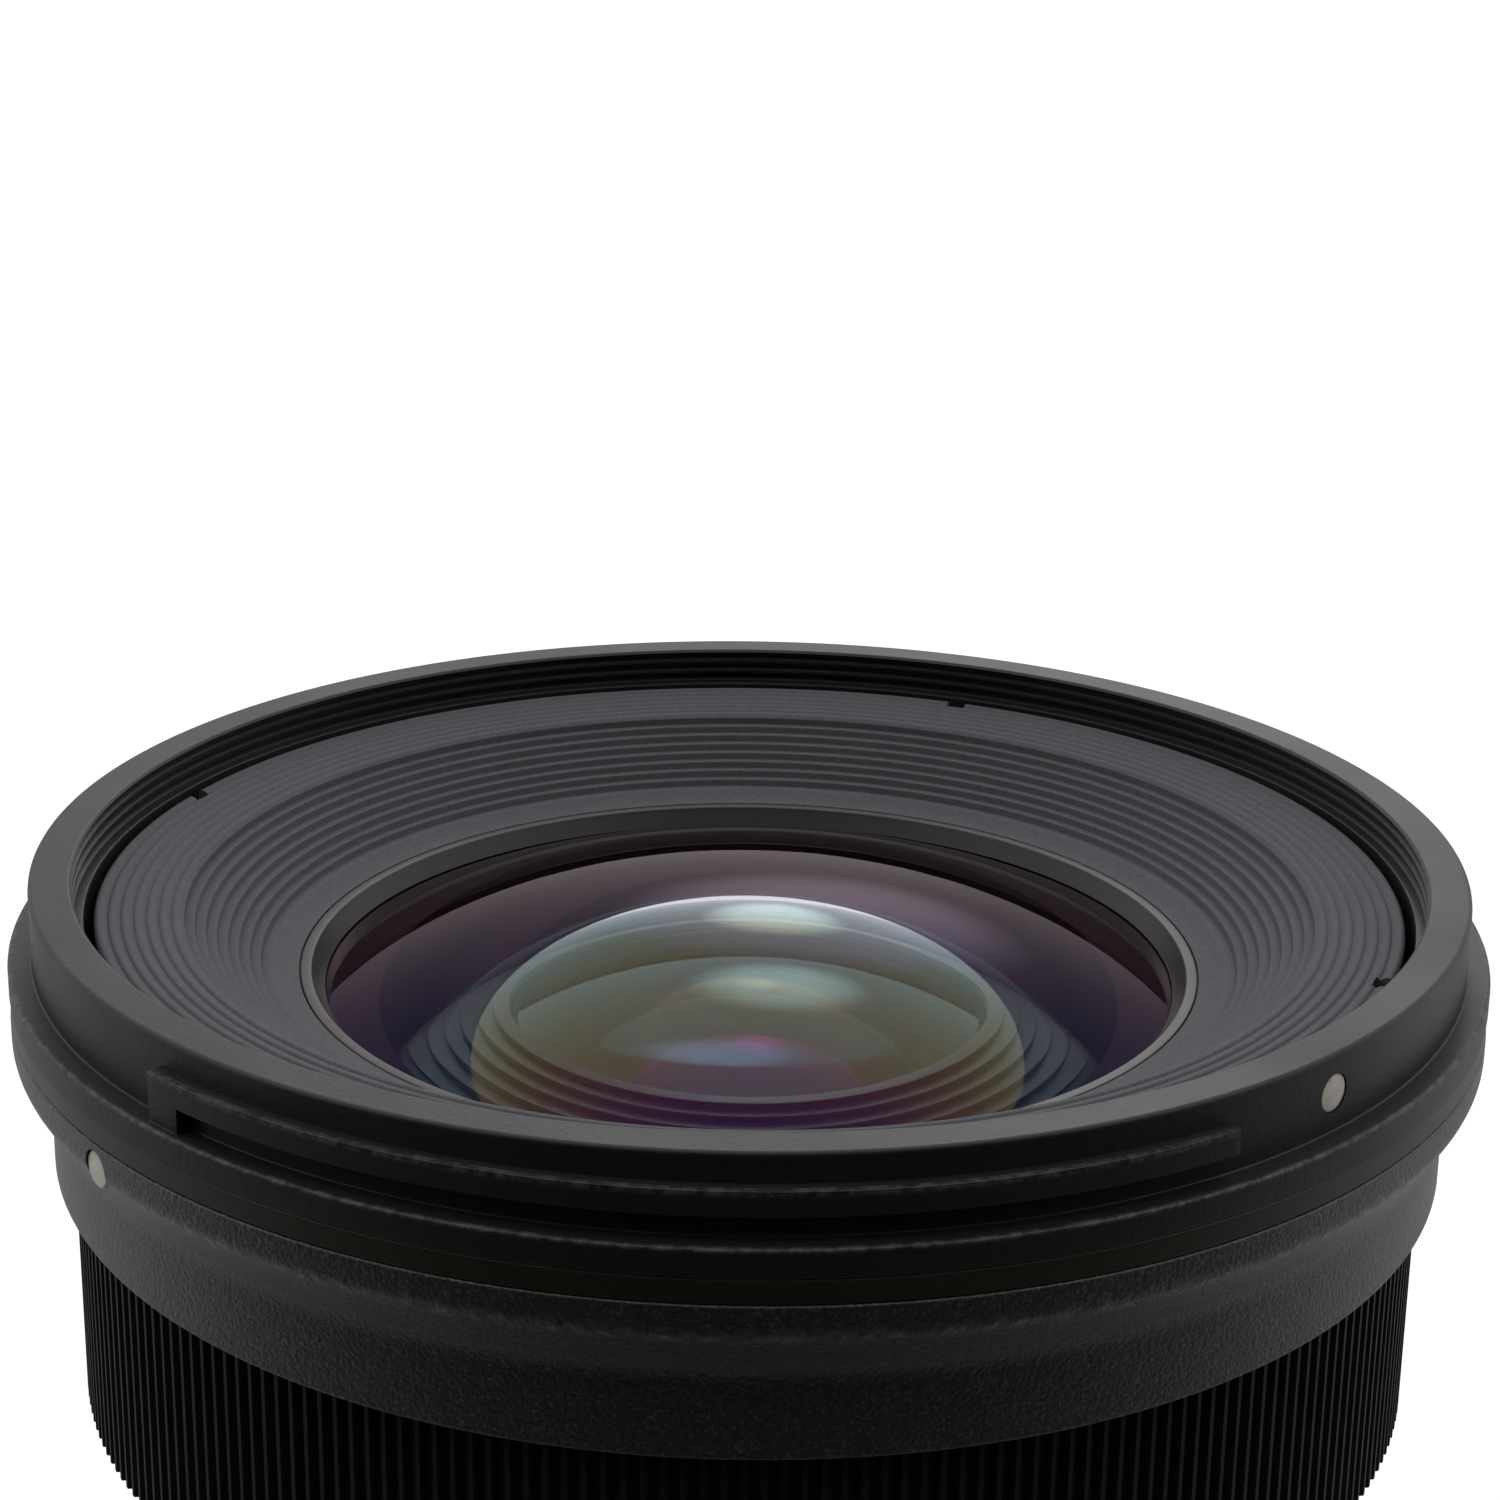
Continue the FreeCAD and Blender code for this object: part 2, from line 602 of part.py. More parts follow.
# Focus cam tube: turns at half the focus ring's rate and drives the focusing cell.
def focus_cam_tube():
    blank = tube("focus_cam_tube_tube", cam_bore, cam_radius, focus_cam_low, focus_ring_top - 0.6)
    slots = helical_slots("focus_cam", cam_bore, cam_radius, focus_pin_height, -1 * focus_travel, drum_turn,
                          focus_pin_angle)
    return node(without("focus_cam_tube_cut", blank, slots), "focus_cam_tube")


# Zoom ring: plastic core with a scale collar in front of the rubber, and the rubber itself.
def zoom_parts():
    node(turned("zoom_ring_core", [
        (zoom_bore, zoom_ring_low), (zoom_rim_radius - 2 * edge_break, zoom_ring_low),
        (zoom_rim_radius, zoom_ring_low + 2 * edge_break), (zoom_rim_radius, zoom_grip_low),
        (zoom_ring_radius, zoom_grip_low), (zoom_ring_radius, zoom_grip_top),
        (zoom_rim_radius, zoom_grip_top),
        (zoom_rim_radius, zoom_ring_top - 2 * edge_break), (zoom_rim_radius - 2 * edge_break, zoom_ring_top),
        (zoom_bore, zoom_ring_top)]), "zoom_ring")
    chamfer = 2 * edge_break
    node(turned("zoom_grip_sleeve", [
        (zoom_ring_radius, zoom_grip_low), (zoom_grip_radius - chamfer, zoom_grip_low),
        (zoom_grip_radius, zoom_grip_low + chamfer), (zoom_grip_radius, zoom_grip_top - chamfer),
        (zoom_grip_radius - chamfer, zoom_grip_top), (zoom_ring_radius, zoom_grip_top)]), "zoom_grip")
    node(tube("zoom_key_block", cam_radius, zoom_bore, zoom_key_low, zoom_key_low + zoom_key_height, key_arc,
              key_angle), "zoom_key")


# Focus ring: core, ribbed rubber sleeve, and the inner ring that its arm drives through the barrel's slot.
def focus_parts():
    bore = barrel_front_radius + ring_gap
    grip_bore = focus_grip_bore
    node(tube("focus_ring_core", bore, grip_bore, focus_ring_low + 0.2, focus_ring_top), "focus_ring")
    chamfer = 2 * edge_break
    low, high = focus_ring_low + 0.2, focus_ring_top
    node(turned("focus_grip_sleeve", [
        (grip_bore, low), (focus_grip_radius - chamfer, low), (focus_grip_radius, low + chamfer),
        (focus_grip_radius, high - chamfer), (focus_grip_radius - chamfer, high), (grip_bore, high)]),
        "focus_grip")
    ring = tube("manual_ring_hoop", motor_bore, drum_radius - drum_wall - slide_gap, manual_ring_low,
                manual_ring_top)
    arm = tube("manual_ring_arm", motor_bore + 1.0, bore, manual_ring_low, manual_ring_top, key_arc,
               key_angle)
    node(together("manual_ring_whole", [ring, arm]), "manual_ring")


# Ring motor and its roller differential, stacked in the barrel's front room.
carrier_height = size("carrier_height", 3.0)
roller_radius = size("roller_radius", 1.35)
rotor_height = size("rotor_height", 2.0)
stator_height = size("stator_height", 4.0)
stator_slit_width = size("stator_slit_width", 0.6)
stator_slit_depth = size("stator_slit_depth", 1.2)
stator_teeth = 36
motor_cover_height = size("motor_cover_height", 1.2)
rotor_low = carrier_low + carrier_height + ring_gap
rotor_top = rotor_low + rotor_height
stator_low = rotor_top + ring_gap
stator_top = stator_low + stator_height
motor_cover_low = focus_ring_top - 0.2


def motor_parts():
    carrier = tube("drive_carrier_hoop", cam_radius, motor_radius, carrier_low, carrier_low + carrier_height)
    middle = (motor_bore + motor_radius) / 2
    pockets = [radial_block("roller_pocket_%d" % index, motor_bore + 0.4, motor_radius - 0.6,
                            2 * (roller_radius + slide_gap), carrier_low - cut_margin,
                            carrier_low + carrier_height + cut_margin, top_angle + 60 + 120 * index)
               for index in range(3)]
    node(without("drive_carrier_cut", carrier, pockets), "drive_carrier")
    rollers = [radial_pin("drive_roller_%d" % index, motor_bore + 0.7, motor_radius - 0.9, roller_radius,
                          carrier_low + carrier_height / 2, top_angle + 60 + 120 * index)
               for index in range(3)]
    node(apart("drive_roller_set", rollers), "drive_rollers")
    node(tube("motor_rotor_ring", motor_bore, motor_radius, rotor_low, rotor_top), "motor_rotor")
    teeth = [radial_block("stator_slit_%d" % index, middle - motor_width, middle + motor_width,
                          stator_slit_width, stator_low - 0.1, stator_low + stator_slit_depth,
                          360.0 / stator_teeth * index) for index in range(stator_teeth)]
    ring = tube("motor_stator_ring", motor_bore, motor_radius, stator_low, stator_top)
    node(without("motor_stator_cut", ring, teeth), "motor_stator")
    node(tube("motor_spring_washer", motor_bore + 0.6, motor_radius - 0.6, stator_top, motor_cover_low),
         "motor_spring")
    node(tube("motor_cover_plate", guide_radius + seat_gap, barrel_front_bore - seat_gap, motor_cover_low,
              motor_cover_low + motor_cover_height), "motor_cover")


# Window barrel: fixed sleeve between the rings, with the distance window on top and the switch at the side.
window_foot_height = size("window_foot_height", 1.2)
window_arc = size("window_arc", 36.0)
window_height = size("window_height", 7.4)
window_rise = size("window_rise", 2.9)
window_low = window_barrel_low + window_rise
switch_angle = top_angle - 90
switch_rise = size("switch_rise", 2.1)
switch_low = window_barrel_low + switch_rise
switch_height = size("switch_height", 8.2)
switch_width = size("switch_width", 12.0)
switch_pad_step = size("switch_pad_step", 0.5)
switch_pad_radius = window_barrel_radius + switch_pad_step
switch_pad_rim = size("switch_pad_rim", 0.4)
switch_plate_thickness = size("switch_plate_thickness", 0.5)
switch_travel = size("switch_travel", 2.4)
knob_length = size("knob_length", 3.4)
knob_width = size("knob_width", 5.0)
knob_height = size("knob_height", 0.9)
knob_stem_width = size("knob_stem_width", 2.4)


def window_parts():
    bore = window_barrel_bore
    low = window_barrel_low
    foot_top = low + window_foot_height
    chamfer = 2 * edge_break
    sleeve = turned("window_barrel_sleeve", [
        (barrel_rear_radius + seat_gap, low), (window_barrel_radius - chamfer, low),
        (window_barrel_radius, low + chamfer), (window_barrel_radius, shoulder_low - chamfer),
        (window_barrel_radius - chamfer, shoulder_low), (bore, shoulder_low), (bore, foot_top),
        (barrel_rear_radius + seat_gap, foot_top)])
    pad = radial_block("switch_pad", bore + 0.2, switch_pad_radius, switch_width + 2 * switch_pad_rim,
                       switch_low - switch_pad_rim, switch_low + switch_height + switch_pad_rim, switch_angle)
    opening = tube("window_opening", bore - 0.2, window_barrel_radius + cut_margin, window_low,
                   window_low + window_height, window_arc, top_angle)
    slot_low = switch_low + (switch_height - knob_length - switch_travel) / 2 - slide_gap
    slot_high = slot_low + knob_length + switch_travel + 2 * slide_gap
    stem_slot = radial_block("switch_slot", bore - cut_margin, switch_pad_radius + cut_margin,
                             knob_stem_width + 2 * slide_gap, slot_low, slot_high, switch_angle)
    node(without("window_barrel_cut", together("window_barrel_pad", [sleeve, pad]), [opening, stem_slot]),
         "window_barrel")
    node(tube("scale_window_pane", bore + 2 * edge_break, window_barrel_radius - edge_break, window_low,
              window_low + window_height, window_arc, top_angle), "scale_window")
    plate = radial_block("switch_plate_blank", switch_pad_radius, switch_pad_radius + switch_plate_thickness,
                         switch_width, switch_low, switch_low + switch_height, switch_angle)
    plate_slot = radial_block("switch_plate_slot", switch_pad_radius - cut_margin,
                              switch_pad_radius + switch_plate_thickness + cut_margin,
                              knob_stem_width + 2 * slide_gap, slot_low, slot_high, switch_angle)
    node(without("switch_plate_cut", plate, [plate_slot]), "switch_plate")
    knob_low = slot_low + slide_gap
    knob_top = knob_low + knob_length
    cap_low = switch_pad_radius + switch_plate_thickness + slide_gap / 2
    stem = radial_block("switch_knob_stem", bore + 0.2, cap_low + 0.2, knob_stem_width, knob_low, knob_top,
                        switch_angle)
    cap = radial_block("switch_knob_cap", cap_low, cap_low + knob_height, knob_width, knob_low, knob_top,
                       switch_angle)
    node(together("switch_knob_whole", [stem, cap]), "switch_knob")
    drum_top = shoulder_low - 2 * slide_gap
    drum = tube("distance_drum_hoop", drum_radius - drum_wall, drum_radius, foot_top + 2 * slide_gap,
                drum_top)
    tab = tube("distance_drum_tab", drum_radius - drum_wall, drum_radius, drum_top - 1.0, carrier_low,
               tab_arc, top_angle)
    node(together("distance_drum_whole", [drum, tab]), "distance_drum")


# Rear barrel: outer shell behind the zoom ring. Its shelf carries the guide tube and the main barrel, and
# its floor carries the mount and the circuit board.
board_rise = size("board_rise", 1.5)
board_thickness = size("board_thickness", 1.0)
board_overhang = size("board_overhang", 1.7)
board_inset = size("board_inset", 3.7)
board_arc = size("board_arc", 300.0)
boss_radius = size("boss_radius", 1.6)
chip_width = size("chip_width", 3.2)
chip_height = size("chip_height", 1.2)
board_low = rear_floor_top + board_rise
board_radius = mount_screw_circle + board_overhang
board_bore = mount_screw_circle - board_inset


def rear_parts():
    inner_low = rear_end_radius - rear_shell_wall
    inner_high = rear_barrel_radius - 1.6 * rear_shell_wall
    chamfer = 2 * edge_break
    shell = turned("rear_barrel_shell", [
        (rear_opening_radius, shim_top), (rear_end_radius - chamfer, shim_top),
        (rear_end_radius, shim_top + chamfer), (rear_end_radius, shim_top + rear_lip_height),
        (rear_barrel_radius, rear_taper_top), (rear_barrel_radius, rear_barrel_top - chamfer),
        (rear_barrel_radius - chamfer, rear_barrel_top), (rear_bore, rear_barrel_top), (rear_bore, shelf_top),
        (shelf_bore, shelf_top), (shelf_bore, shelf_low), (inner_high, shelf_low),
        (inner_low, rear_floor_top), (rear_opening_radius, rear_floor_top)])
    bosses = [post("board_boss_%d" % index, boss_radius, rear_floor_top - 0.2, board_low, mount_screw_circle,
                   top_angle + 45 + 90 * index) for index in range(4)]
    holes = [post("mount_screw_bore_%d" % index, mount_screw_radius + seat_gap, shim_top - cut_margin,
                  mount_screw_length + seat_gap, mount_screw_circle, top_angle + 45 + 90 * index)
             for index in range(4)]
    side_holes = [radial_pin("barrel_screw_bore_%d" % index, rear_bore - cut_margin,
                             rear_barrel_radius + cut_margin, barrel_screw_head + seat_gap,
                             barrel_screw_height, top_angle + 60 + 120 * index)
                  for index in range(3)]
    dot = radial_pin("mount_dot_recess", rear_end_radius - dot_depth, rear_barrel_radius + 1.0, dot_radius,
                     mount_dot_height, top_angle)
    node(without("rear_barrel_cut", together("rear_barrel_bosses", [shell] + bosses),
                 holes + side_holes + [dot]), "rear_barrel")
    for index in range(3):
        angle = top_angle + 60 + 120 * index
        shank = radial_pin("barrel_screw_shank_%d" % index, barrel_rear_bore, rear_barrel_radius - 1.0,
                           barrel_screw_radius, barrel_screw_height, angle)
        head = radial_pin("barrel_screw_head_%d" % index, barrel_rear_radius + seat_gap,
                          rear_barrel_radius - 0.2, barrel_screw_head, barrel_screw_height, angle)
        rear_screws.append(together("barrel_screw_%d" % index, [shank, head]))
    board = tube("main_board_plate", board_bore, board_radius, board_low, board_low + board_thickness,
                 board_arc, top_angle)
    chips = [radial_block("chip_%d" % index, board_bore + 1.0, board_radius - 1.0, chip_width,
                          board_low + board_thickness - 0.1, board_low + board_thickness + chip_height,
                          top_angle - 100 + 50 * index) for index in range(5)]
    node(together("main_board_whole", [board] + chips), "main_board")


# Mount: bright metal bayonet with a raised bearing face, three lugs, and four countersunk screws.
def mount_parts():
    plate = turned("mount_plate_blank", [
        (mount_tube_bore, -1 * mount_tube_depth), (mount_tube_radius - edge_break, -1 * mount_tube_depth),
        (mount_tube_radius, edge_break - mount_tube_depth), (mount_tube_radius, mount_relief),
        (bearing_inner_radius, mount_relief), (bearing_inner_radius, 0), (mount_radius - edge_break, 0),
        (mount_radius, edge_break), (mount_radius, mount_thickness), (mount_tube_bore, mount_thickness)])
    lugs = [tube("bayonet_lug_%d" % index, mount_tube_radius - 0.2, bayonet_radius,
                 bayonet_lug_top - bayonet_lug_height, bayonet_lug_top, bayonet_lug_arc,
                 top_angle + 120 * index) for index in range(3)]
    head_depth = mount_screw_head - mount_screw_radius
    cuts = []
    for index in range(4):
        angle = top_angle + 45 + 90 * index
        cuts.append(post("mount_hole_%d" % index, mount_screw_radius + seat_gap, -0.5,
                         mount_thickness + cut_margin, mount_screw_circle, angle))
        cuts.append(cone("mount_countersink_%d" % index, mount_screw_head + seat_gap,
                         mount_screw_radius + seat_gap, 0.0, head_depth, mount_screw_circle, angle))
        head = cone("mount_screw_head_%d" % index, mount_screw_head - seat_gap, mount_screw_radius,
                    seat_gap, head_depth, mount_screw_circle, angle)
        shank = post("mount_screw_shank_%d" % index, mount_screw_radius, head_depth, mount_screw_length,
                     mount_screw_circle, angle)
        recess = seat_gap + cross_depth
        slot_along = radial_block("screw_cross_along_%d" % index, mount_screw_circle - cross_length / 2,
                                  mount_screw_circle + cross_length / 2, cross_width, 0.0, recess, angle)
        slot_across = radial_block("screw_cross_over_%d" % index, mount_screw_circle - cross_width / 2,
                                   mount_screw_circle + cross_width / 2, cross_length, 0.0, recess, angle)
        rear_screws.append(without("mount_screw_%d" % index,
                                   together("mount_screw_body_%d" % index, [head, shank]),
                                   [slot_along, slot_across]))
    cuts.append(post("lock_hole", lock_hole_radius, -0.1, lock_hole_depth, mount_screw_circle,
                     top_angle + 170))
    node(without("mount_plate_cut", together("mount_plate_lugs", [plate] + lugs), cuts), "mount_plate")
    node(apart("rear_screw_set", rear_screws), "rear_screws")
    shim = tube("mount_shim_ring", bearing_inner_radius - 1.0, mount_radius - 0.2, mount_thickness, shim_top)
    shim_holes = [post("shim_hole_%d" % index, mount_screw_radius + 3 * seat_gap,
                       mount_thickness - cut_margin, shim_top + cut_margin, mount_screw_circle,
                       top_angle + 45 + 90 * index) for index in range(4)]
    node(without("mount_shim_cut", shim, shim_holes), "mount_shim")


def cone(name, low_radius, high_radius, low, high, circle, angle):
    shape = doc.addObject("Part::Cone", name)
    shape.setExpression("Radius1", text(low_radius))
    shape.setExpression("Radius2", text(high_radius))
    shape.setExpression("Height", text(high - low))
    return place(shape, angle, low, circle)


# Rear baffle with the contact block and its pins, inside the mount's tube.
baffle_plate_height = size("baffle_plate_height", 1.4)
rear_baffle_recess = size("rear_baffle_recess", 1.2)
rear_baffle_sink = size("rear_baffle_sink", 0.4)
rear_baffle_opening = size("rear_baffle_opening", 16.5)
contact_block_arc = size("contact_block_arc", 60.0)
contact_block_height = size("contact_block_height", 0.7)
contact_inset = size("contact_inset", 3.0)
contact_block_width = size("contact_block_width", 4.4)
contact_radius = size("contact_radius", 0.65)
contact_proud = size("contact_proud", 0.2)
contact_count = 9
rear_baffle_low = rear_baffle_recess - mount_tube_depth
rear_baffle_top = mount_thickness - rear_baffle_sink
contact_circle = mount_tube_bore - contact_inset


def contact_parts():
    outer = mount_tube_bore - seat_gap
    node(turned("rear_baffle_ring", [
        (rear_baffle_opening, rear_baffle_low), (outer, rear_baffle_low), (outer, rear_baffle_top),
        (outer - 1.0, rear_baffle_top), (outer - 1.0, rear_baffle_low + baffle_plate_height),
        (rear_baffle_opening, rear_baffle_low + baffle_plate_height)]), "rear_baffle")
    block_low = rear_baffle_low - contact_block_height
    angle = top_angle + 180
    block = tube("contact_block_arc", contact_circle - contact_block_width / 2,
                 contact_circle + contact_block_width / 2, block_low, rear_baffle_low, contact_block_arc,
                 angle)
    step = contact_block_arc / (contact_count + 1)
    holes = []
    pins = []
    for index in range(contact_count):
        at = angle + (index - (contact_count - 1) / 2) * step
        holes.append(post("contact_hole_%d" % index, contact_radius + seat_gap / 2, block_low - cut_margin,
                          rear_baffle_low, contact_circle, at))
        pins.append(post("contact_pin_%d" % index, contact_radius, block_low - contact_proud,
                         rear_baffle_low, contact_circle, at))
    node(without("contact_block_cut", block, holes), "contact_block")
    node(apart("contact_pin_set", pins), "contact_pins")


# Lens elements are ground to spheres. A bulging face has its vertex away from the glass. The outline runs
# from the rear vertex out along the rear face, up the edge and back in along the front face.
def element(label, edge_radius, front_vertex, front_bend, front_bulges, rear_vertex, rear_bend, rear_bulges,
            rear_aperture):
    front_fall = sag(front_bend, edge_radius)
    rear_fall = sag(rear_bend, rear_aperture)
    front_edge = front_vertex - front_fall if front_bulges else front_vertex + front_fall
    rear_edge = rear_vertex + rear_fall if rear_bulges else rear_vertex - rear_fall
    corners = [(0, rear_vertex, "left" if rear_bulges else "right", rear_bend), (rear_aperture, rear_edge)]
    if number(edge_radius) - number(rear_aperture) > 0.01:
        corners.append((edge_radius, rear_edge))
    corners += [(edge_radius, front_edge, "left" if front_bulges else "right", front_bend), (0, front_vertex)]
    return node(turned(label + "_glass", corners), label)


# Front group: the cell slides in the guide tube and carries three elements, the retainer and the baffle.
front_vertex_drop = size("front_vertex_drop", 2.92)
front_element_inset = size("front_element_inset", 2.7)
front_front_curve_radius = size("front_front_curve_radius", 65.0)
front_element_thickness = size("front_element_thickness", 3.68)
front_rear_curve_radius = size("front_rear_curve_radius", 32.0)
front_rear_aperture = size("front_rear_aperture", 21.0)
front_bezel_width = size("front_bezel_width", 1.05)
trap_opening_radius = size("trap_opening_radius", 15.0)
trap_edge_inset = size("trap_edge_inset", 0.4)
trap_step_rise = size("trap_step_rise", 0.36)
trap_step_count = 6
second_element_radius = size("second_element_radius", 17.0)
second_spacing = size("second_spacing", 4.8)
second_front_curve_radius = size("second_front_curve_radius", 60.0)
second_thickness = size("second_thickness", 1.7)
second_rear_curve_radius = size("second_rear_curve_radius", 18.0)
second_rear_aperture = size("second_rear_aperture", 13.5)
third_element_radius = size("third_element_radius", 14.0)
third_spacing = size("third_spacing", 7.3)
third_front_curve_radius = size("third_front_curve_radius", 40.0)
third_thickness = size("third_thickness", 5.0)
third_rear_curve_radius = size("third_rear_curve_radius", 60.0)
cell_wall = size("cell_wall", 1.3)
cell_web_rise = size("cell_web_rise", 4.9)
cell_relief_height = size("cell_relief_height", 8.6)
cell_skirt_sink = size("cell_skirt_sink", 5.0)
cell_top_rise = size("cell_top_rise", 1.4)

front_element_radius = cell_radius - front_element_inset
front_glass_radius = front_element_radius - front_bezel_width
cell_web_low = focus_pin_height + cell_web_rise
cell_relief_top = cell_web_low + cell_relief_height
cell_skirt_low = front_pin_height - cell_skirt_sink
front_vertex = overall_length - front_vertex_drop
front_rear_vertex = front_vertex - front_element_thickness
front_seat = front_rear_vertex - sag(front_rear_curve_radius, front_rear_aperture)
second_vertex = front_rear_vertex - second_spacing
second_rear_vertex = second_vertex - second_thickness
second_seat = second_rear_vertex - sag(second_rear_curve_radius, second_rear_aperture)
third_vertex = second_rear_vertex - third_spacing
third_rear_vertex = third_vertex - third_thickness
third_seat = third_rear_vertex + sag(third_rear_curve_radius, third_element_radius - cell_wall)
front_glass_edge = front_vertex - sag(front_front_curve_radius, front_element_radius)
cell_top = front_glass_edge + cell_top_rise
skirt_bore = cell_radius - cell_wall


def front_group():
    element("front_element", front_element_radius, front_vertex, front_front_curve_radius, True,
            front_rear_vertex, front_rear_curve_radius, False, front_rear_aperture)
    element("second_element", second_element_radius, second_vertex, second_front_curve_radius, True,
            second_rear_vertex, second_rear_curve_radius, False, second_rear_aperture)
    element("third_element", third_element_radius, third_vertex, third_front_curve_radius, True,
            third_rear_vertex, third_rear_curve_radius, True, third_element_radius)
    relief_bore = second_element_radius + 1.5 * cell_wall
    cell = turned("front_cell_tube", [
        (cell_radius, cell_skirt_low), (cell_radius, cell_top), (front_element_radius + lens_gap, cell_top),
        (front_element_radius + lens_gap, front_seat - lens_gap),
        (second_element_radius + lens_gap, front_seat - lens_gap),
        (second_element_radius + lens_gap, second_seat - lens_gap),
        (third_element_radius + lens_gap, second_seat - lens_gap),
        (third_element_radius + lens_gap, third_seat - lens_gap),
        (third_element_radius - cell_wall, third_seat - lens_gap),
        (third_element_radius - cell_wall, cell_web_low), (relief_bore, cell_web_low),
        (relief_bore, cell_relief_top), (skirt_bore, cell_relief_top), (skirt_bore, cell_skirt_low)])
    inner, outer = skirt_bore - cut_margin, cell_radius + cut_margin
    focus_slots = straight_slots("skirt_focus_slot", inner, outer, focus_pin_height - focus_travel,
                                 focus_pin_height + front_travel, focus_pin_angle)
    notches = straight_slots("skirt_middle_notch", inner, outer, cell_skirt_low - 5.0,
                             middle_pin_height + middle_travel + front_travel, middle_pin_angle)
    sockets = [radial_pin("front_pin_socket_%d" % index, inner, outer, pin_radius, front_pin_height,
                          front_pin_angle + 120 * index) for index in range(3)]
    node(without("front_cell_cut", cell, focus_slots + notches + sockets), "front_cell")
    followers("front", skirt_bore + 0.1, front_pin_height, front_pin_angle, cam_radius - 0.2)
    glass_fall = front_vertex - sag(front_front_curve_radius, front_glass_radius)
    node(turned("front_retainer_ring", [
        (front_glass_radius, glass_fall + 2 * lens_gap),
        (front_element_radius - seat_gap, front_glass_edge + 2 * lens_gap),
        (front_element_radius - seat_gap, cell_top), (retainer_radius, cell_top),
        (retainer_radius, baffle_inner_height), (retainer_lip_radius, baffle_inner_height)]),
        "front_retainer")
    front_baffle()
    light_trap()


# Stepped black ring on the cell's ledge: it holds the second element and hides the glass edges.
def light_trap():
    outer = front_rear_aperture - trap_edge_inset
    foot = second_element_radius + 3 * lens_gap
    pitch = (outer - trap_opening_radius) / trap_step_count
    corners = [(foot, front_seat), (outer, front_seat)]
    for index in range(trap_step_count):
        edge = outer - index * pitch
        level = front_seat + trap_step_rise * (index + 0.5)
        corners += [(edge, level), (edge - pitch, level - 0.3 * trap_step_rise)]
    inner_fall = sag(second_front_curve_radius, trap_opening_radius)
    edge_fall = sag(second_front_curve_radius, second_element_radius)
    corners += [(trap_opening_radius, second_vertex - inner_fall + 2 * lens_gap),
                (foot, second_vertex - edge_fall + 2 * lens_gap)]
    node(turned("light_trap_ring", corners), "light_trap")


# Three followers: a pin held in the cell's wall that reaches through the guide tube into the cam slot.
def followers(group, inner, height, angle, outer):
    pins = [radial_pin("%s_pin_%d" % (group, index), inner, outer, pin_radius, height, angle + 120 * index)
            for index in range(3)]
    node(apart("%s_pin_set" % group, pins), "%s_followers" % group)


# Front baffle: shallow ridges that face outward, then stairs that fall towards the glass.
baffle_gap = size("baffle_gap", 0.6)
baffle_drop = size("baffle_drop", 2.43)
ridge_count = 7
ridge_zone = size("ridge_zone", 5.2)
ridge_fall = size("ridge_fall", 0.45)
ridge_depth = size("ridge_depth", 0.2)
stair_count = 8
lip_width = size("lip_width", 1.6)
stair_fall = size("stair_fall", 3.55)
baffle_inner_step = size("baffle_inner_step", 0.5)
baffle_inner_drop = size("baffle_inner_drop", 7.15)
baffle_wall = size("baffle_wall", 1.2)
baffle_skirt_height = size("baffle_skirt_height", 1.9)
retainer_step = size("retainer_step", 0.4)
notch_width = size("notch_width", 1.3)
notch_angle = size("notch_angle", -22.0)
baffle_radius = baffle_bore_radius - baffle_gap
ridge_inner_radius = baffle_radius - ridge_zone
baffle_inner_radius = front_element_radius + baffle_inner_step
stair_inner_radius = baffle_inner_radius + lip_width
baffle_inner_height = overall_length - baffle_inner_drop
retainer_radius = front_element_radius + retainer_step
retainer_lip_radius = front_element_radius - retainer_step


def front_baffle():
    top = overall_length - baffle_drop
    ridge_pitch = (baffle_radius - ridge_inner_radius) / ridge_count
    stair_pitch = (ridge_inner_radius - stair_inner_radius) / stair_count
    corners = [(baffle_radius, top - baffle_skirt_height), (baffle_radius, top - ridge_depth)]
    for index in range(ridge_count):
        outer = baffle_radius - index * ridge_pitch
        crest = top - ridge_fall * (index / ridge_count)
        corners += [(outer - 0.25 * ridge_pitch, crest), (outer - ridge_pitch, crest - ridge_depth)]
    stair_top = top - ridge_fall
    corners.append((ridge_inner_radius - 0.1 * stair_pitch, stair_top - ridge_depth))
    for index in range(stair_count):
        outer = ridge_inner_radius - index * stair_pitch
        level = stair_top - ridge_depth - stair_fall * ((index + 1) / stair_count)
        corners += [(outer - 0.15 * stair_pitch, level), (outer - stair_pitch, level + 0.1 * ridge_depth)]
    foot = stair_inner_radius - 0.15 * stair_pitch
    corners += [(foot, baffle_inner_height + 0.15), (baffle_inner_radius, baffle_inner_height),
                (baffle_inner_radius, cell_top), (cell_radius, cell_top),
                (ridge_inner_radius, stair_top - 1.6 * baffle_wall),
                (baffle_radius - baffle_wall, top - ridge_fall - baffle_wall),
                (baffle_radius - baffle_wall, top - baffle_skirt_height)]
    blank = turned("front_baffle_shell", corners)
    notches = [radial_block("key_notch_%d" % index, baffle_radius - 0.9, baffle_radius + cut_margin,
                            notch_width, top - 1.6, top + cut_margin, notch_angle + 90 * index - 90)
               for index in range(4)]
    node(without("front_baffle_cut", blank, notches), "front_baffle")


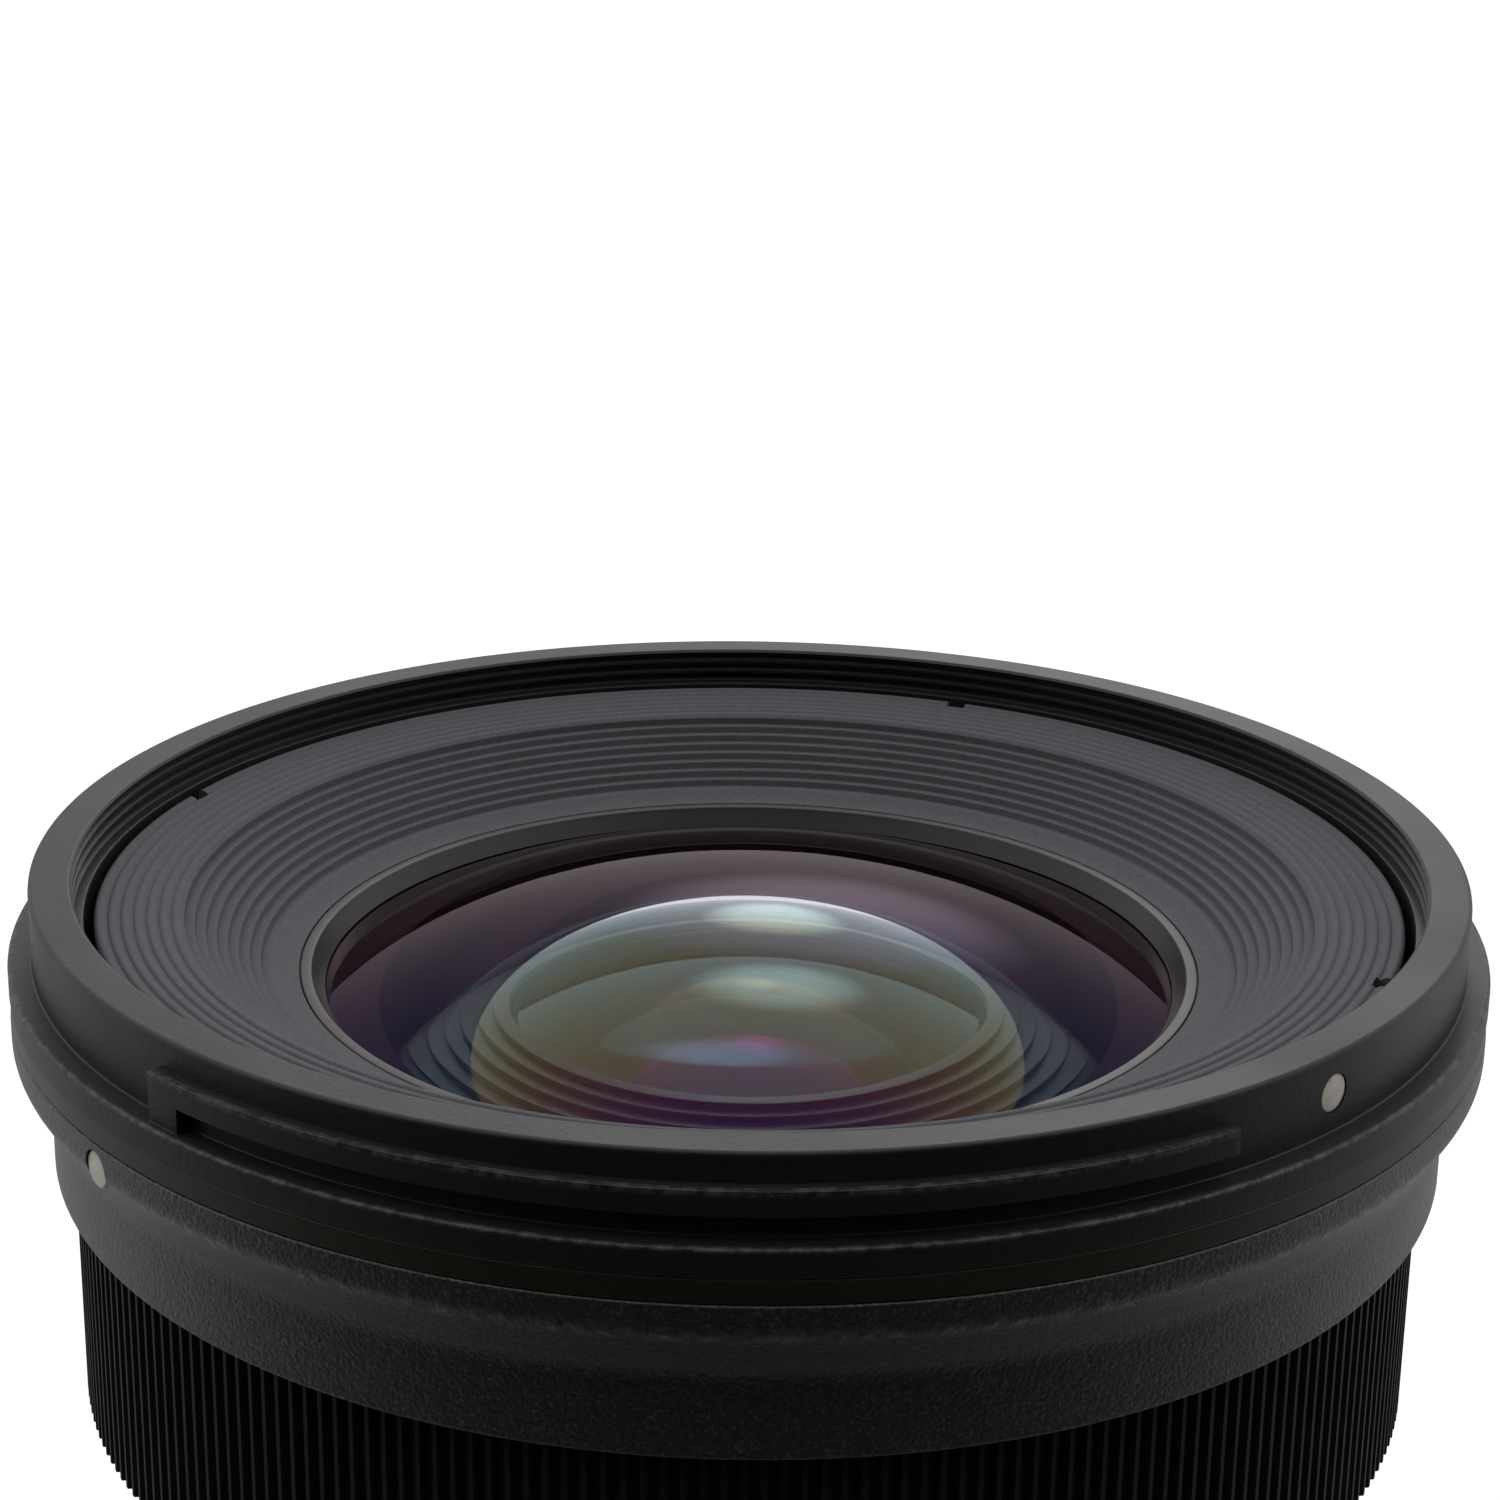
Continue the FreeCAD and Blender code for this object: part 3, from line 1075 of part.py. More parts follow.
# Focusing group: a cell with one meniscus, sliding inside the front cell's skirt.
focus_element_radius = size("focus_element_radius", 13.0)
focus_element_sink = size("focus_element_sink", 2.0)
focus_cell_rise = size("focus_cell_rise", 1.6)
focus_cell_sink = size("focus_cell_sink", 5.0)
focus_web_height = size("focus_web_height", 1.4)
focus_front_curve_radius = size("focus_front_curve_radius", 30.0)
focus_rear_curve_radius = size("focus_rear_curve_radius", 22.0)
focus_element_thickness = size("focus_element_thickness", 1.6)
focus_rear_aperture = size("focus_rear_aperture", 11.0)
focus_vertex = focus_pin_height - focus_element_sink
focus_cell_top = focus_pin_height + focus_cell_rise
focus_cell_low = focus_pin_height - focus_cell_sink
focus_web_top = focus_cell_low + focus_web_height


def focus_group():
    rear_vertex = focus_vertex - focus_element_thickness
    seat = rear_vertex - sag(focus_rear_curve_radius, focus_rear_aperture)
    element("focus_element", focus_element_radius, focus_vertex, focus_front_curve_radius, True, rear_vertex,
            focus_rear_curve_radius, False, focus_rear_aperture)
    outer = skirt_bore - cell_gap
    glass_bore = focus_element_radius + lens_gap
    sleeve = glass_bore + cell_wall
    cell = turned("focus_cell_ring", [
        (focus_element_radius - cell_wall, seat - 1.0), (sleeve, seat - 1.0), (sleeve, focus_cell_low),
        (outer, focus_cell_low), (outer, focus_cell_top), (outer - 2 * cell_wall, focus_cell_top),
        (outer - 2 * cell_wall, focus_web_top), (glass_bore, focus_web_top), (glass_bore, seat - lens_gap),
        (focus_element_radius - cell_wall, seat - lens_gap)])
    sockets = [radial_pin("focus_pin_socket_%d" % index, outer - 3 * cell_wall, outer + cut_margin,
                          pin_radius, focus_pin_height, focus_pin_angle + 120 * index)
               for index in range(3)]
    node(without("focus_cell_cut", cell, sockets), "focus_cell")
    followers("focus", outer - 1.5 * cell_wall, focus_pin_height, focus_pin_angle, cam_radius - 0.2)


# Middle group: the cell with two elements, and the iris in front of them.
middle_cell_rise = size("middle_cell_rise", 1.8)
fifth_radius = size("fifth_radius", 9.5)
fifth_sink = size("fifth_sink", 0.2)
fifth_front_curve_radius = size("fifth_front_curve_radius", 22.0)
fifth_rear_curve_radius = size("fifth_rear_curve_radius", 104.0)
fifth_thickness = size("fifth_thickness", 2.9)
sixth_spacing = size("sixth_spacing", 0.9)
sixth_radius = size("sixth_radius", 9.0)
sixth_front_curve_radius = size("sixth_front_curve_radius", 90.0)
sixth_rear_curve_radius = size("sixth_rear_curve_radius", 26.0)
sixth_thickness = size("sixth_thickness", 1.6)
middle_cell_top = middle_pin_height + middle_cell_rise
fifth_vertex = middle_cell_top - fifth_sink


def middle_group():
    fifth_rear = fifth_vertex - fifth_thickness
    element("fifth_element", fifth_radius, fifth_vertex, fifth_front_curve_radius, True, fifth_rear,
            fifth_rear_curve_radius, True, fifth_radius)
    sixth_vertex = fifth_rear - sixth_spacing
    sixth_rear = sixth_vertex - sixth_thickness
    aperture = sixth_radius - 1.0
    sixth_seat = sixth_rear - sag(sixth_rear_curve_radius, aperture)
    element("sixth_element", sixth_radius, sixth_vertex, sixth_front_curve_radius, True, sixth_rear,
            sixth_rear_curve_radius, False, aperture)
    fifth_seat = fifth_rear + sag(fifth_rear_curve_radius, sixth_radius)
    outer = skirt_bore - cell_gap
    wall = fifth_radius + lens_gap + cell_wall
    cell = turned("middle_cell_ring", [
        (aperture, sixth_seat - 0.9), (wall, sixth_seat - 0.9), (wall, middle_pin_height - 1.6 * cell_wall),
        (outer, middle_pin_height - 1.6 * cell_wall), (outer, middle_cell_top), (outer - cell_wall,
                                                                                 middle_cell_top),
        (outer - cell_wall, middle_pin_height - 0.6 * cell_wall), (wall, middle_pin_height - 0.6 * cell_wall),
        (wall, middle_cell_top), (fifth_radius + lens_gap, middle_cell_top),
        (fifth_radius + lens_gap, fifth_seat - lens_gap), (sixth_radius + lens_gap, fifth_seat - lens_gap),
        (sixth_radius + lens_gap, sixth_seat - lens_gap), (aperture, sixth_seat - lens_gap)])
    sockets = [radial_pin("middle_pin_socket_%d" % index, outer - 2 * cell_wall, outer + cut_margin,
                          pin_radius, middle_pin_height, middle_pin_angle + 120 * index)
               for index in range(3)]
    node(without("middle_cell_cut", cell, sockets), "middle_cell")
    followers("middle", outer - 0.9 * cell_wall, middle_pin_height, middle_pin_angle, cam_radius - 0.2)


# Iris: six leaves on their own levels between a plate and a turning ring. Each leaf turns on a pin in the
# plate, and the ring moves it by a second pin, further out, in a slot.
iris_inset = size("iris_inset", 0.8)
iris_radius = skirt_bore - iris_inset
iris_aperture = size("iris_aperture", 9.4)
iris_plate = size("iris_plate", 0.8)
iris_height = size("iris_height", 3.6)
iris_wall = size("iris_wall", 0.6)
leaf_count = 6
leaf_spacing = 60.0
leaf_thickness = size("leaf_thickness", 0.12)
leaf_pitch = size("leaf_pitch", 0.24)
leaf_inner = size("leaf_inner", 9.6)
leaf_outer = size("leaf_outer", 16.8)
leaf_arc = size("leaf_arc", 72.0)
leaf_pivot_circle = size("leaf_pivot_circle", 19.4)
leaf_pin_radius = size("leaf_pin_radius", 0.45)
leaf_pin_circle = size("leaf_pin_circle", 22.6)
leaf_tab_width = size("leaf_tab_width", 2.4)
iris_ring_turn = size("iris_ring_turn", 30.0)
iris_ring_height = size("iris_ring_height", 0.8)
iris_ring_inner = size("iris_ring_inner", 10.0)


def iris():
    low = middle_cell_top
    plate_top = low + iris_plate
    cup = turned("iris_housing_cup", [
        (iris_aperture, low), (iris_radius, low), (iris_radius, low + iris_height),
        (iris_radius - iris_wall, low + iris_height), (iris_radius - iris_wall, plate_top),
        (iris_aperture, plate_top)])
    holes = [post("leaf_pivot_hole_%d" % index, leaf_pin_radius + slide_gap, low - 0.1, plate_top + 0.1,
                  leaf_pivot_circle, leaf_spacing * index) for index in range(leaf_count)]
    node(without("iris_housing_cut", cup, holes), "iris_housing")
    ring_low = low + iris_height - iris_ring_height
    ring = tube("iris_ring_plate", iris_ring_inner, iris_radius - iris_wall - slide_gap, ring_low,
                low + iris_height)
    # The drive pin's radius shrinks a little as the leaf swings in, so each slot is wider inward.
    slots = [tube("leaf_drive_slot_%d" % index, leaf_pin_circle - 2 * slide_gap - leaf_pin_radius,
                  leaf_pin_circle + slide_gap + leaf_pin_radius, ring_low - 0.2, low + iris_height + 0.2,
                  iris_ring_turn + 5.0, leaf_spacing * index - iris_ring_turn / 2 + 0.5)
             for index in range(leaf_count)]
    node(without("iris_ring_cut", ring, slots), "iris_ring")
    for index in range(leaf_count):
        angle = leaf_spacing * index
        leaf_low = plate_top + slide_gap / 2 + leaf_pitch * index
        leaf_top = leaf_low + leaf_thickness
        band = tube("leaf_band_%d" % index, leaf_inner, leaf_outer, leaf_low, leaf_top, leaf_arc,
                    leaf_arc / 2 + angle - 4.0)
        tab = radial_block("leaf_tab_%d" % index, leaf_inner + 2.0, leaf_pin_circle + 1.0, leaf_tab_width,
                           leaf_low, leaf_top, angle)
        pivot = post("leaf_pivot_%d" % index, leaf_pin_radius, low + slide_gap / 3, leaf_top,
                     leaf_pivot_circle, angle)
        drive = post("leaf_drive_%d" % index, leaf_pin_radius, leaf_low, ring_low + 0.7 * iris_ring_height,
                     leaf_pin_circle, angle)
        node(together("leaf_%d" % index, [band, tab, pivot, drive]), "iris_blade_%d" % (index + 1))


# Rear group: the cell with the seventh element and the rear element.
rear_cell_sink = size("rear_cell_sink", 3.4)
rear_cell_rise = size("rear_cell_rise", 3.6)
seventh_rise = size("seventh_rise", 5.0)
rear_element_radius = size("rear_element_radius", 13.0)
seventh_front_curve_radius = size("seventh_front_curve_radius", 30.0)
seventh_rear_curve_radius = size("seventh_rear_curve_radius", 96.0)
seventh_thickness = size("seventh_thickness", 5.2)
rear_element_spacing = size("rear_element_spacing", 1.0)
rear_front_curve_radius = size("rear_front_curve_radius", 144.0)
rear_rear_curve_radius = size("rear_rear_curve_radius", 45.0)
rear_element_thickness = size("rear_element_thickness", 3.4)
rear_cell_low = rear_pin_height - rear_cell_sink
rear_cell_top = rear_pin_height + rear_cell_rise
rear_front_vertex = rear_pin_height + seventh_rise


def rear_group():
    seventh_rear = rear_front_vertex - seventh_thickness
    element("seventh_element", rear_element_radius, rear_front_vertex, seventh_front_curve_radius, True,
            seventh_rear, seventh_rear_curve_radius, True, rear_element_radius)
    last_vertex = seventh_rear - rear_element_spacing
    last_rear = last_vertex - rear_element_thickness
    element("rear_element", rear_element_radius, last_vertex, rear_front_curve_radius, False, last_rear,
            rear_rear_curve_radius, True, rear_element_radius)
    last_seat = last_rear + sag(rear_rear_curve_radius, rear_element_radius - cell_wall)
    outer = cell_radius
    glass_bore = rear_element_radius + lens_gap
    wall = glass_bore + cell_wall
    web_low = rear_pin_height - 0.5 * cell_wall
    cell = turned("rear_cell_ring", [
        (rear_element_radius - cell_wall, last_seat - 0.9), (wall, last_seat - 0.9), (wall, web_low),
        (outer - 1.5 * cell_wall, web_low), (outer - 1.5 * cell_wall, rear_cell_low), (outer, rear_cell_low),
        (outer, rear_cell_top), (outer - 1.5 * cell_wall, rear_cell_top),
        (outer - 1.5 * cell_wall, web_low + cell_wall), (wall, web_low + cell_wall), (wall, rear_cell_top),
        (glass_bore, rear_cell_top), (glass_bore, last_seat - lens_gap),
        (rear_element_radius - cell_wall, last_seat - lens_gap)])
    sockets = [radial_pin("rear_pin_socket_%d" % index, outer - 3 * cell_wall, outer + cut_margin, pin_radius,
                          rear_pin_height, rear_pin_angle + 120 * index) for index in range(3)]
    node(without("rear_cell_cut", cell, sockets), "rear_cell")
    followers("rear", outer - 1.4 * cell_wall, rear_pin_height, rear_pin_angle, cam_radius - 0.2)


filter_ring()
trim_band()
front_cover()
index_dots()
main_barrel()
guide_tube()
cam_tube()
focus_cam_tube()
zoom_parts()
focus_parts()
motor_parts()
window_parts()
rear_parts()
mount_parts()
contact_parts()
front_group()
focus_group()
middle_group()
iris()
rear_group()

doc.recompute()
faults = [item.Label for item in doc.Objects if "Invalid" in item.State or "Error" in item.State]
faults += [item.Label for item in nodes if item.Shape.isNull() or not item.Shape.isValid()]
faults += [item.Label for item in nodes if not item.Shape.Solids]
if faults:
    raise SystemExit("these pieces did not build: %s" % ", ".join(sorted(set(faults))))
os.makedirs("parts", exist_ok=True)
for item in nodes:
    item.Shape.exportStep("parts/%s.step" % item.Label)
    print("%-18s %d solids, %.1f mm3" % (item.Label, len(item.Shape.Solids), item.Shape.Volume))
print(len(nodes), "nodes")
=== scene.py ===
import json
import math

import bpy
from mathutils import Matrix


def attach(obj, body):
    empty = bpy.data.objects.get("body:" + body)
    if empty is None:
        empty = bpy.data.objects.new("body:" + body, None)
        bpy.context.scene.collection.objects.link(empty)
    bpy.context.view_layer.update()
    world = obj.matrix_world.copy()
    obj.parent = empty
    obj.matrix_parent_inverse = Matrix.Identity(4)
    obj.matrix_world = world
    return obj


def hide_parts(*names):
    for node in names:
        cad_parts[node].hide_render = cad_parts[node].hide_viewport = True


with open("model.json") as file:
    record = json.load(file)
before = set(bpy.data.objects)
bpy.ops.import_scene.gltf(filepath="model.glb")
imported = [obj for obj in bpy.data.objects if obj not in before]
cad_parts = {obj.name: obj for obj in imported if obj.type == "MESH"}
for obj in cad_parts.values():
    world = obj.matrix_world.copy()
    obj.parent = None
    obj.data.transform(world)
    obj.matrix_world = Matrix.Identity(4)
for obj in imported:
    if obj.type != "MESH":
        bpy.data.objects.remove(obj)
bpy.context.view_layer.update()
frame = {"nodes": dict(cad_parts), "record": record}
bpy.ops.object.select_all(action="DESELECT")

# Filter ring: moulded black front ring with the filter thread inside, a flange under it, and two hood
# lugs that each end in a stop. It is screwed down on the main barrel's front flange.
MM = 0.001
HOOD_DOT = (-44.5, 87.7)
DOT_PIT_RADIUS = 1.12
THREAD_CREST = 40.594
THREAD_ROOT = 40.97
THREAD_LOW = 87.65
THREAD_PITCH = 0.75
RIM_BORE = 40.0
RIM_RADIUS = 43.1
LUG_RADIUS = 44.0
FLANGE_RADIUS = 44.5
SKIRT_RADIUS = 41.15
RIM_TOP = 90.0
FLANGE_TOP = 85.49
FLANGE_LOW = 83.84
SKIRT_LOW = 80.4
LUG_LOW = 86.93
LUG_TOP = 88.35
LUG_START = -135.35
LUG_ARC = 80.0
STOP_ARC = 3.2


def eased(outline):
    """Rounds the corners that state how far back from the corner the rounding starts."""
    points = []
    count = len(outline)
    for index, corner in enumerate(outline):
        if len(corner) == 2:
            points.append(corner)
            continue
        radius, height, ease = corner
        before = outline[index - 1]
        after = outline[(index + 1) % count]
        ends = []
        for other in (before, after):
            along = (other[0] - radius, other[1] - height)
            length = math.hypot(*along)
            back = min(ease, 0.45 * length) / length
            ends.append((radius + along[0] * back, height + along[1] * back))
        for step in range(5):
            part = step / 4
            points.append(tuple((1 - part) ** 2 * ends[0][axis] + 2 * part * (1 - part) * corner[axis]
                                + part ** 2 * ends[1][axis] for axis in (0, 1)))
    return points


def turned_piece(name, outline, sides=256, start=0.0, smooth=40.0):
    """Turns an outline of (radius, height) corners in millimetres round the optical axis."""
    points = eased(outline)
    radius, height = points[0]
    bpy.ops.mesh.primitive_circle_add(vertices=sides, radius=radius * MM, location=(0, 0, height * MM),
                                      rotation=(0, 0, math.radians(start)))
    piece = bpy.context.object
    piece.name = name
    bpy.ops.object.transform_apply(location=True, rotation=True, scale=True)
    bpy.ops.object.mode_set(mode="EDIT")
    bpy.ops.mesh.select_all(action="SELECT")
    closed = points[-1][0] > 0
    for next_radius, next_height in points[1:] + ([points[0]] if closed else []):
        bpy.ops.mesh.extrude_edges_move(
            TRANSFORM_OT_translate={"value": (0, 0, (next_height - height) * MM)})
        if next_radius == 0:
            bpy.ops.mesh.merge(type="CENTER")
            break
        bpy.ops.transform.resize(value=(next_radius / radius, next_radius / radius, 1),
                                 center_override=(0, 0, 0))
        radius, height = next_radius, next_height
    bpy.ops.mesh.select_all(action="SELECT")
    bpy.ops.mesh.remove_doubles(threshold=1e-6)
    bpy.ops.mesh.normals_make_consistent(inside=False)
    bpy.ops.mesh.select_all(action="DESELECT")
    bpy.ops.object.mode_set(mode="OBJECT")
    bpy.ops.object.shade_smooth_by_angle(angle=math.radians(smooth))
    return piece


def choose(piece, kind, wanted):
    """Selects the piece's vertices, edges or faces for which wanted(radius, angle, height) holds."""
    bpy.ops.object.mode_set(mode="OBJECT")
    mesh = piece.data
    for collection in (mesh.vertices, mesh.edges, mesh.polygons):
        collection.foreach_set("select", [False] * len(collection))
    bpy.ops.object.mode_set(mode="EDIT")
    bpy.ops.mesh.select_mode(type=kind)
    bpy.ops.object.mode_set(mode="OBJECT")
    items = {"VERT": mesh.vertices, "EDGE": mesh.edges, "FACE": mesh.polygons}[kind]
    for item in items:
        if kind == "VERT":
            places = [item.co]
        elif kind == "EDGE":
            places = [mesh.vertices[v].co for v in item.vertices]
        else:
            places = [item.center]
        if all(wanted(math.hypot(p.x, p.y) / MM, math.degrees(math.atan2(p.y, p.x)), p.z / MM)
               for p in places):
            item.select = True
    bpy.ops.object.mode_set(mode="EDIT")


def spread(factor):
    """Moves what is selected away from the axis by a factor."""
    bpy.ops.transform.resize(value=(factor, factor, 1), center_override=(0, 0, 0))
    bpy.ops.object.mode_set(mode="OBJECT")


def settle_normals(piece):
    """Lets wide faces keep a flat look beside their rounded edges."""
    weigh = piece.modifiers.new("face_weight", "WEIGHTED_NORMAL")
    weigh.keep_sharp = True
    bpy.context.view_layer.objects.active = piece
    bpy.ops.object.modifier_apply(modifier="face_weight")


def pit(piece, angle, height, radius, floor, reach):
    """Sinks a round pit into the side of a piece, along a radius."""
    turn = math.radians(angle)
    middle = (floor + reach) / 2
    bpy.ops.mesh.primitive_cylinder_add(
        vertices=40, radius=radius * MM, depth=(reach - floor) * MM,
        location=(middle * MM * math.cos(turn), middle * MM * math.sin(turn), height * MM),
        rotation=(0, math.radians(90), turn))
    drill = bpy.context.object
    cut = piece.modifiers.new("pit", "BOOLEAN")
    cut.object = drill
    cut.operation = "DIFFERENCE"
    bpy.context.view_layer.objects.active = piece
    bpy.ops.object.modifier_apply(modifier="pit")
    bpy.data.objects.remove(drill)
    bpy.ops.object.select_all(action="DESELECT")
    piece.select_set(True)


def joined(parts):
    """Joins parts of one piece into a single object."""
    bpy.ops.object.select_all(action="DESELECT")
    for part in parts:
        part.select_set(True)
    bpy.context.view_layer.objects.active = parts[0]
    bpy.ops.object.join()
    return bpy.context.object


def add_node(tree, kind, **values):
    """Adds a node; each value sets the input of that name, with underscores for spaces."""
    node = tree.nodes.new(kind)
    for name, value in values.items():
        node.inputs[name.replace("_", " ")].default_value = value
    return node


def add_math(tree, operation, second=None):
    """Adds a math node, with a constant in its second input where one is given."""
    node = tree.nodes.new("ShaderNodeMath")
    node.operation = operation
    if second is not None:
        node.inputs[1].default_value = second
    return node


def build_grain():
    """Fine moulding grain: an uneven tone, an uneven gloss and a shallow bump."""
    group = bpy.data.node_groups.new("fine_grain", "ShaderNodeTree")
    for name, value in (("Scale", 3000.0), ("Bump", 0.2), ("Roughness", 0.5), ("Patches", 0.18)):
        socket = group.interface.new_socket(name, in_out="INPUT", socket_type="NodeSocketFloat")
        socket.default_value = value
    for name in ("Tone", "Gloss"):
        group.interface.new_socket(name, in_out="OUTPUT", socket_type="NodeSocketFloat")
    group.interface.new_socket("Normal", in_out="OUTPUT", socket_type="NodeSocketVector")
    start = group.nodes.new("NodeGroupInput")
    end = group.nodes.new("NodeGroupOutput")
    place = group.nodes.new("ShaderNodeTexCoord")
    fine = add_node(group, "ShaderNodeTexNoise", Detail=2.0, Roughness=0.6)
    broad = add_node(group, "ShaderNodeTexNoise", Scale=90.0, Detail=3.0)
    tone = add_node(group, "ShaderNodeMapRange", To_Min=0.75, To_Max=1.25)
    gloss = add_math(group, "MULTIPLY_ADD")
    shift = add_math(group, "MULTIPLY_ADD", -0.5)
    bump = add_node(group, "ShaderNodeBump", Distance=0.00005)
    link = group.links.new
    link(place.outputs["Object"], fine.inputs["Vector"])
    link(place.outputs["Object"], broad.inputs["Vector"])
    link(start.outputs["Scale"], fine.inputs["Scale"])
    link(fine.outputs["Fac"], tone.inputs["Value"])
    link(broad.outputs["Fac"], gloss.inputs[0])
    link(start.outputs["Patches"], gloss.inputs[1])
    link(start.outputs["Patches"], shift.inputs[0])
    link(start.outputs["Roughness"], shift.inputs[2])
    link(shift.outputs[0], gloss.inputs[2])
    link(fine.outputs["Fac"], bump.inputs["Height"])
    link(start.outputs["Bump"], bump.inputs["Strength"])
    link(tone.outputs["Result"], end.inputs["Tone"])
    link(gloss.outputs[0], end.inputs["Gloss"])
    link(bump.outputs["Normal"], end.inputs["Normal"])
    return group


grain = build_grain()


def grained_finish(name, colour, roughness, scale, bump, metallic=0.0, level=0.5, patches=0.18):
    """A finish whose tone, gloss and relief follow the fine grain; scale is in grains per metre."""
    material = bpy.data.materials.new(name)
    material.use_nodes = True
    tree = material.node_tree
    shader = tree.nodes["Principled BSDF"]
    shader.inputs["Metallic"].default_value = metallic
    shader.inputs["Specular IOR Level"].default_value = level
    texture = tree.nodes.new("ShaderNodeGroup")
    texture.node_tree = grain
    texture.inputs["Scale"].default_value = scale
    texture.inputs["Bump"].default_value = bump
    texture.inputs["Roughness"].default_value = roughness
    texture.inputs["Patches"].default_value = patches
    tint = tree.nodes.new("ShaderNodeVectorMath")
    tint.operation = "SCALE"
    tint.inputs[0].default_value = colour
    tree.links.new(texture.outputs["Tone"], tint.inputs["Scale"])
    tree.links.new(tint.outputs[0], shader.inputs["Base Color"])
    tree.links.new(texture.outputs["Gloss"], shader.inputs["Roughness"])
    tree.links.new(texture.outputs["Normal"], shader.inputs["Normal"])
    return material


def dress(piece, material, slot, body, *nodes):
    """Gives a finished piece its material, its body and the CAD nodes it stands for; its slot argument is not
    used.
    """
    piece.data.materials.clear()
    piece.data.materials.append(material)
    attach(piece, body)
    if nodes:
        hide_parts(*nodes)
    bpy.ops.object.select_all(action="DESELECT")


def build_wear_and_highlight():
    """Broken grey line of painted highlight and rubbed wear at an edge: between two heights, outside a
    radius, in metres.
    """
    group = bpy.data.node_groups.new("rubbed_edge_and_highlight", "ShaderNodeTree")
    for name in ("Low", "High", "Reach"):
        group.interface.new_socket(name, in_out="INPUT", socket_type="NodeSocketFloat")
    group.interface.new_socket("Rubbed_and_lit", in_out="OUTPUT", socket_type="NodeSocketFloat")
    start = group.nodes.new("NodeGroupInput")
    end = group.nodes.new("NodeGroupOutput")
    place = group.nodes.new("ShaderNodeTexCoord")
    split = group.nodes.new("ShaderNodeSeparateXYZ")
    flat = group.nodes.new("ShaderNodeVectorMath")
    flat.operation = "MULTIPLY"
    flat.inputs[1].default_value = (1, 1, 0)
    across = group.nodes.new("ShaderNodeVectorMath")
    across.operation = "LENGTH"
    outside = add_math(group, "GREATER_THAN")
    middle = add_math(group, "ADD")
    half = add_math(group, "MULTIPLY", 0.5)
    rise = add_node(group, "ShaderNodeMapRange")
    fall = add_node(group, "ShaderNodeMapRange", To_Min=1.0, To_Max=0.0)
    noise = add_node(group, "ShaderNodeTexNoise", Scale=1500.0, Detail=3.0, Roughness=0.65)
    broken = add_node(group, "ShaderNodeMapRange", From_Min=0.4, From_Max=0.62)
    link = group.links.new
    link(place.outputs["Object"], split.inputs["Vector"])
    link(place.outputs["Object"], flat.inputs[0])
    link(place.outputs["Object"], noise.inputs["Vector"])
    link(flat.outputs[0], across.inputs[0])
    link(across.outputs["Value"], outside.inputs[0])
    link(start.outputs["Reach"], outside.inputs[1])
    link(start.outputs["Low"], middle.inputs[0])
    link(start.outputs["High"], middle.inputs[1])
    link(middle.outputs[0], half.inputs[0])
    link(split.outputs["Z"], rise.inputs["Value"])
    link(start.outputs["Low"], rise.inputs["From Min"])
    link(half.outputs[0], rise.inputs["From Max"])
    link(split.outputs["Z"], fall.inputs["Value"])
    link(half.outputs[0], fall.inputs["From Min"])
    link(start.outputs["High"], fall.inputs["From Max"])
    link(noise.outputs["Fac"], broken.inputs["Value"])
    last = rise.outputs["Result"]
    for part in (fall.outputs["Result"], outside.outputs[0], broken.outputs["Result"]):
        times = add_math(group, "MULTIPLY")
        link(last, times.inputs[0])
        link(part, times.inputs[1])
        last = times.outputs[0]
    link(last, end.inputs["Rubbed_and_lit"])
    return group


wear_and_highlight = build_wear_and_highlight()


def wear_and_highlight_line(tree, low, high, reach):
    """A node that gives the broken line of painted highlight and wear at an edge; heights and radius in mm.
    """
    node = tree.nodes.new("ShaderNodeGroup")
    node.node_tree = wear_and_highlight
    for name, value in (("Low", low), ("High", high), ("Reach", reach)):
        node.inputs[name].default_value = value * MM
    return node.outputs["Rubbed_and_lit"]


moulded_black = grained_finish("moulded_black", (0.02, 0.02, 0.0215), 0.47, 2600, 0.45, level=0.48)
ring_black = grained_finish("ring_black", (0.02, 0.02, 0.0215), 0.47, 2600, 0.45, level=0.48)
tree = ring_black.node_tree
shader = tree.nodes["Principled BSDF"]
plain = shader.inputs["Base Color"].links[0].from_socket
# Painted highlight that is partly rubbed wear: a broken grey line on the lug tops and on the flange's top
# edge.
both = add_math(tree, "MAXIMUM")
worn_and_lit = tree.nodes.new("ShaderNodeMix")
worn_and_lit.data_type = "RGBA"
worn_and_lit.inputs["B"].default_value = (0.13, 0.13, 0.13, 1)
tree.links.new(wear_and_highlight_line(tree, low=87.95, high=88.5, reach=43.6), both.inputs[0])
tree.links.new(wear_and_highlight_line(tree, low=85.2, high=85.6, reach=44.2), both.inputs[1])
tree.links.new(both.outputs[0], worn_and_lit.inputs["Factor"])
tree.links.new(plain, worn_and_lit.inputs["A"])
tree.links.new(worn_and_lit.outputs["Result"], shader.inputs["Base Color"])
thread = [(THREAD_CREST, THREAD_LOW)]
for turn in range(3):
    foot = THREAD_LOW + THREAD_PITCH * turn
    thread += [(THREAD_CREST, foot + 0.09), (THREAD_ROOT, foot + 0.31), (THREAD_ROOT, foot + 0.44),
               (THREAD_CREST, foot + 0.66)]
rim = turned_piece("filter_rim", [(RIM_BORE, SKIRT_LOW, 0.1), (RIM_BORE, THREAD_LOW, 0.1)] + thread + [
    (THREAD_CREST, 89.84), (40.75, RIM_TOP, 0.1), (RIM_RADIUS, RIM_TOP, 0.28), (RIM_RADIUS, LUG_TOP),
    (RIM_RADIUS, LUG_LOW), (RIM_RADIUS, FLANGE_TOP, 0.12), (FLANGE_RADIUS, FLANGE_TOP, 0.22),
    (FLANGE_RADIUS, FLANGE_LOW, 0.16), (SKIRT_RADIUS, FLANGE_LOW), (SKIRT_RADIUS, SKIRT_LOW, 0.1)],
    sides=450, start=0.25)


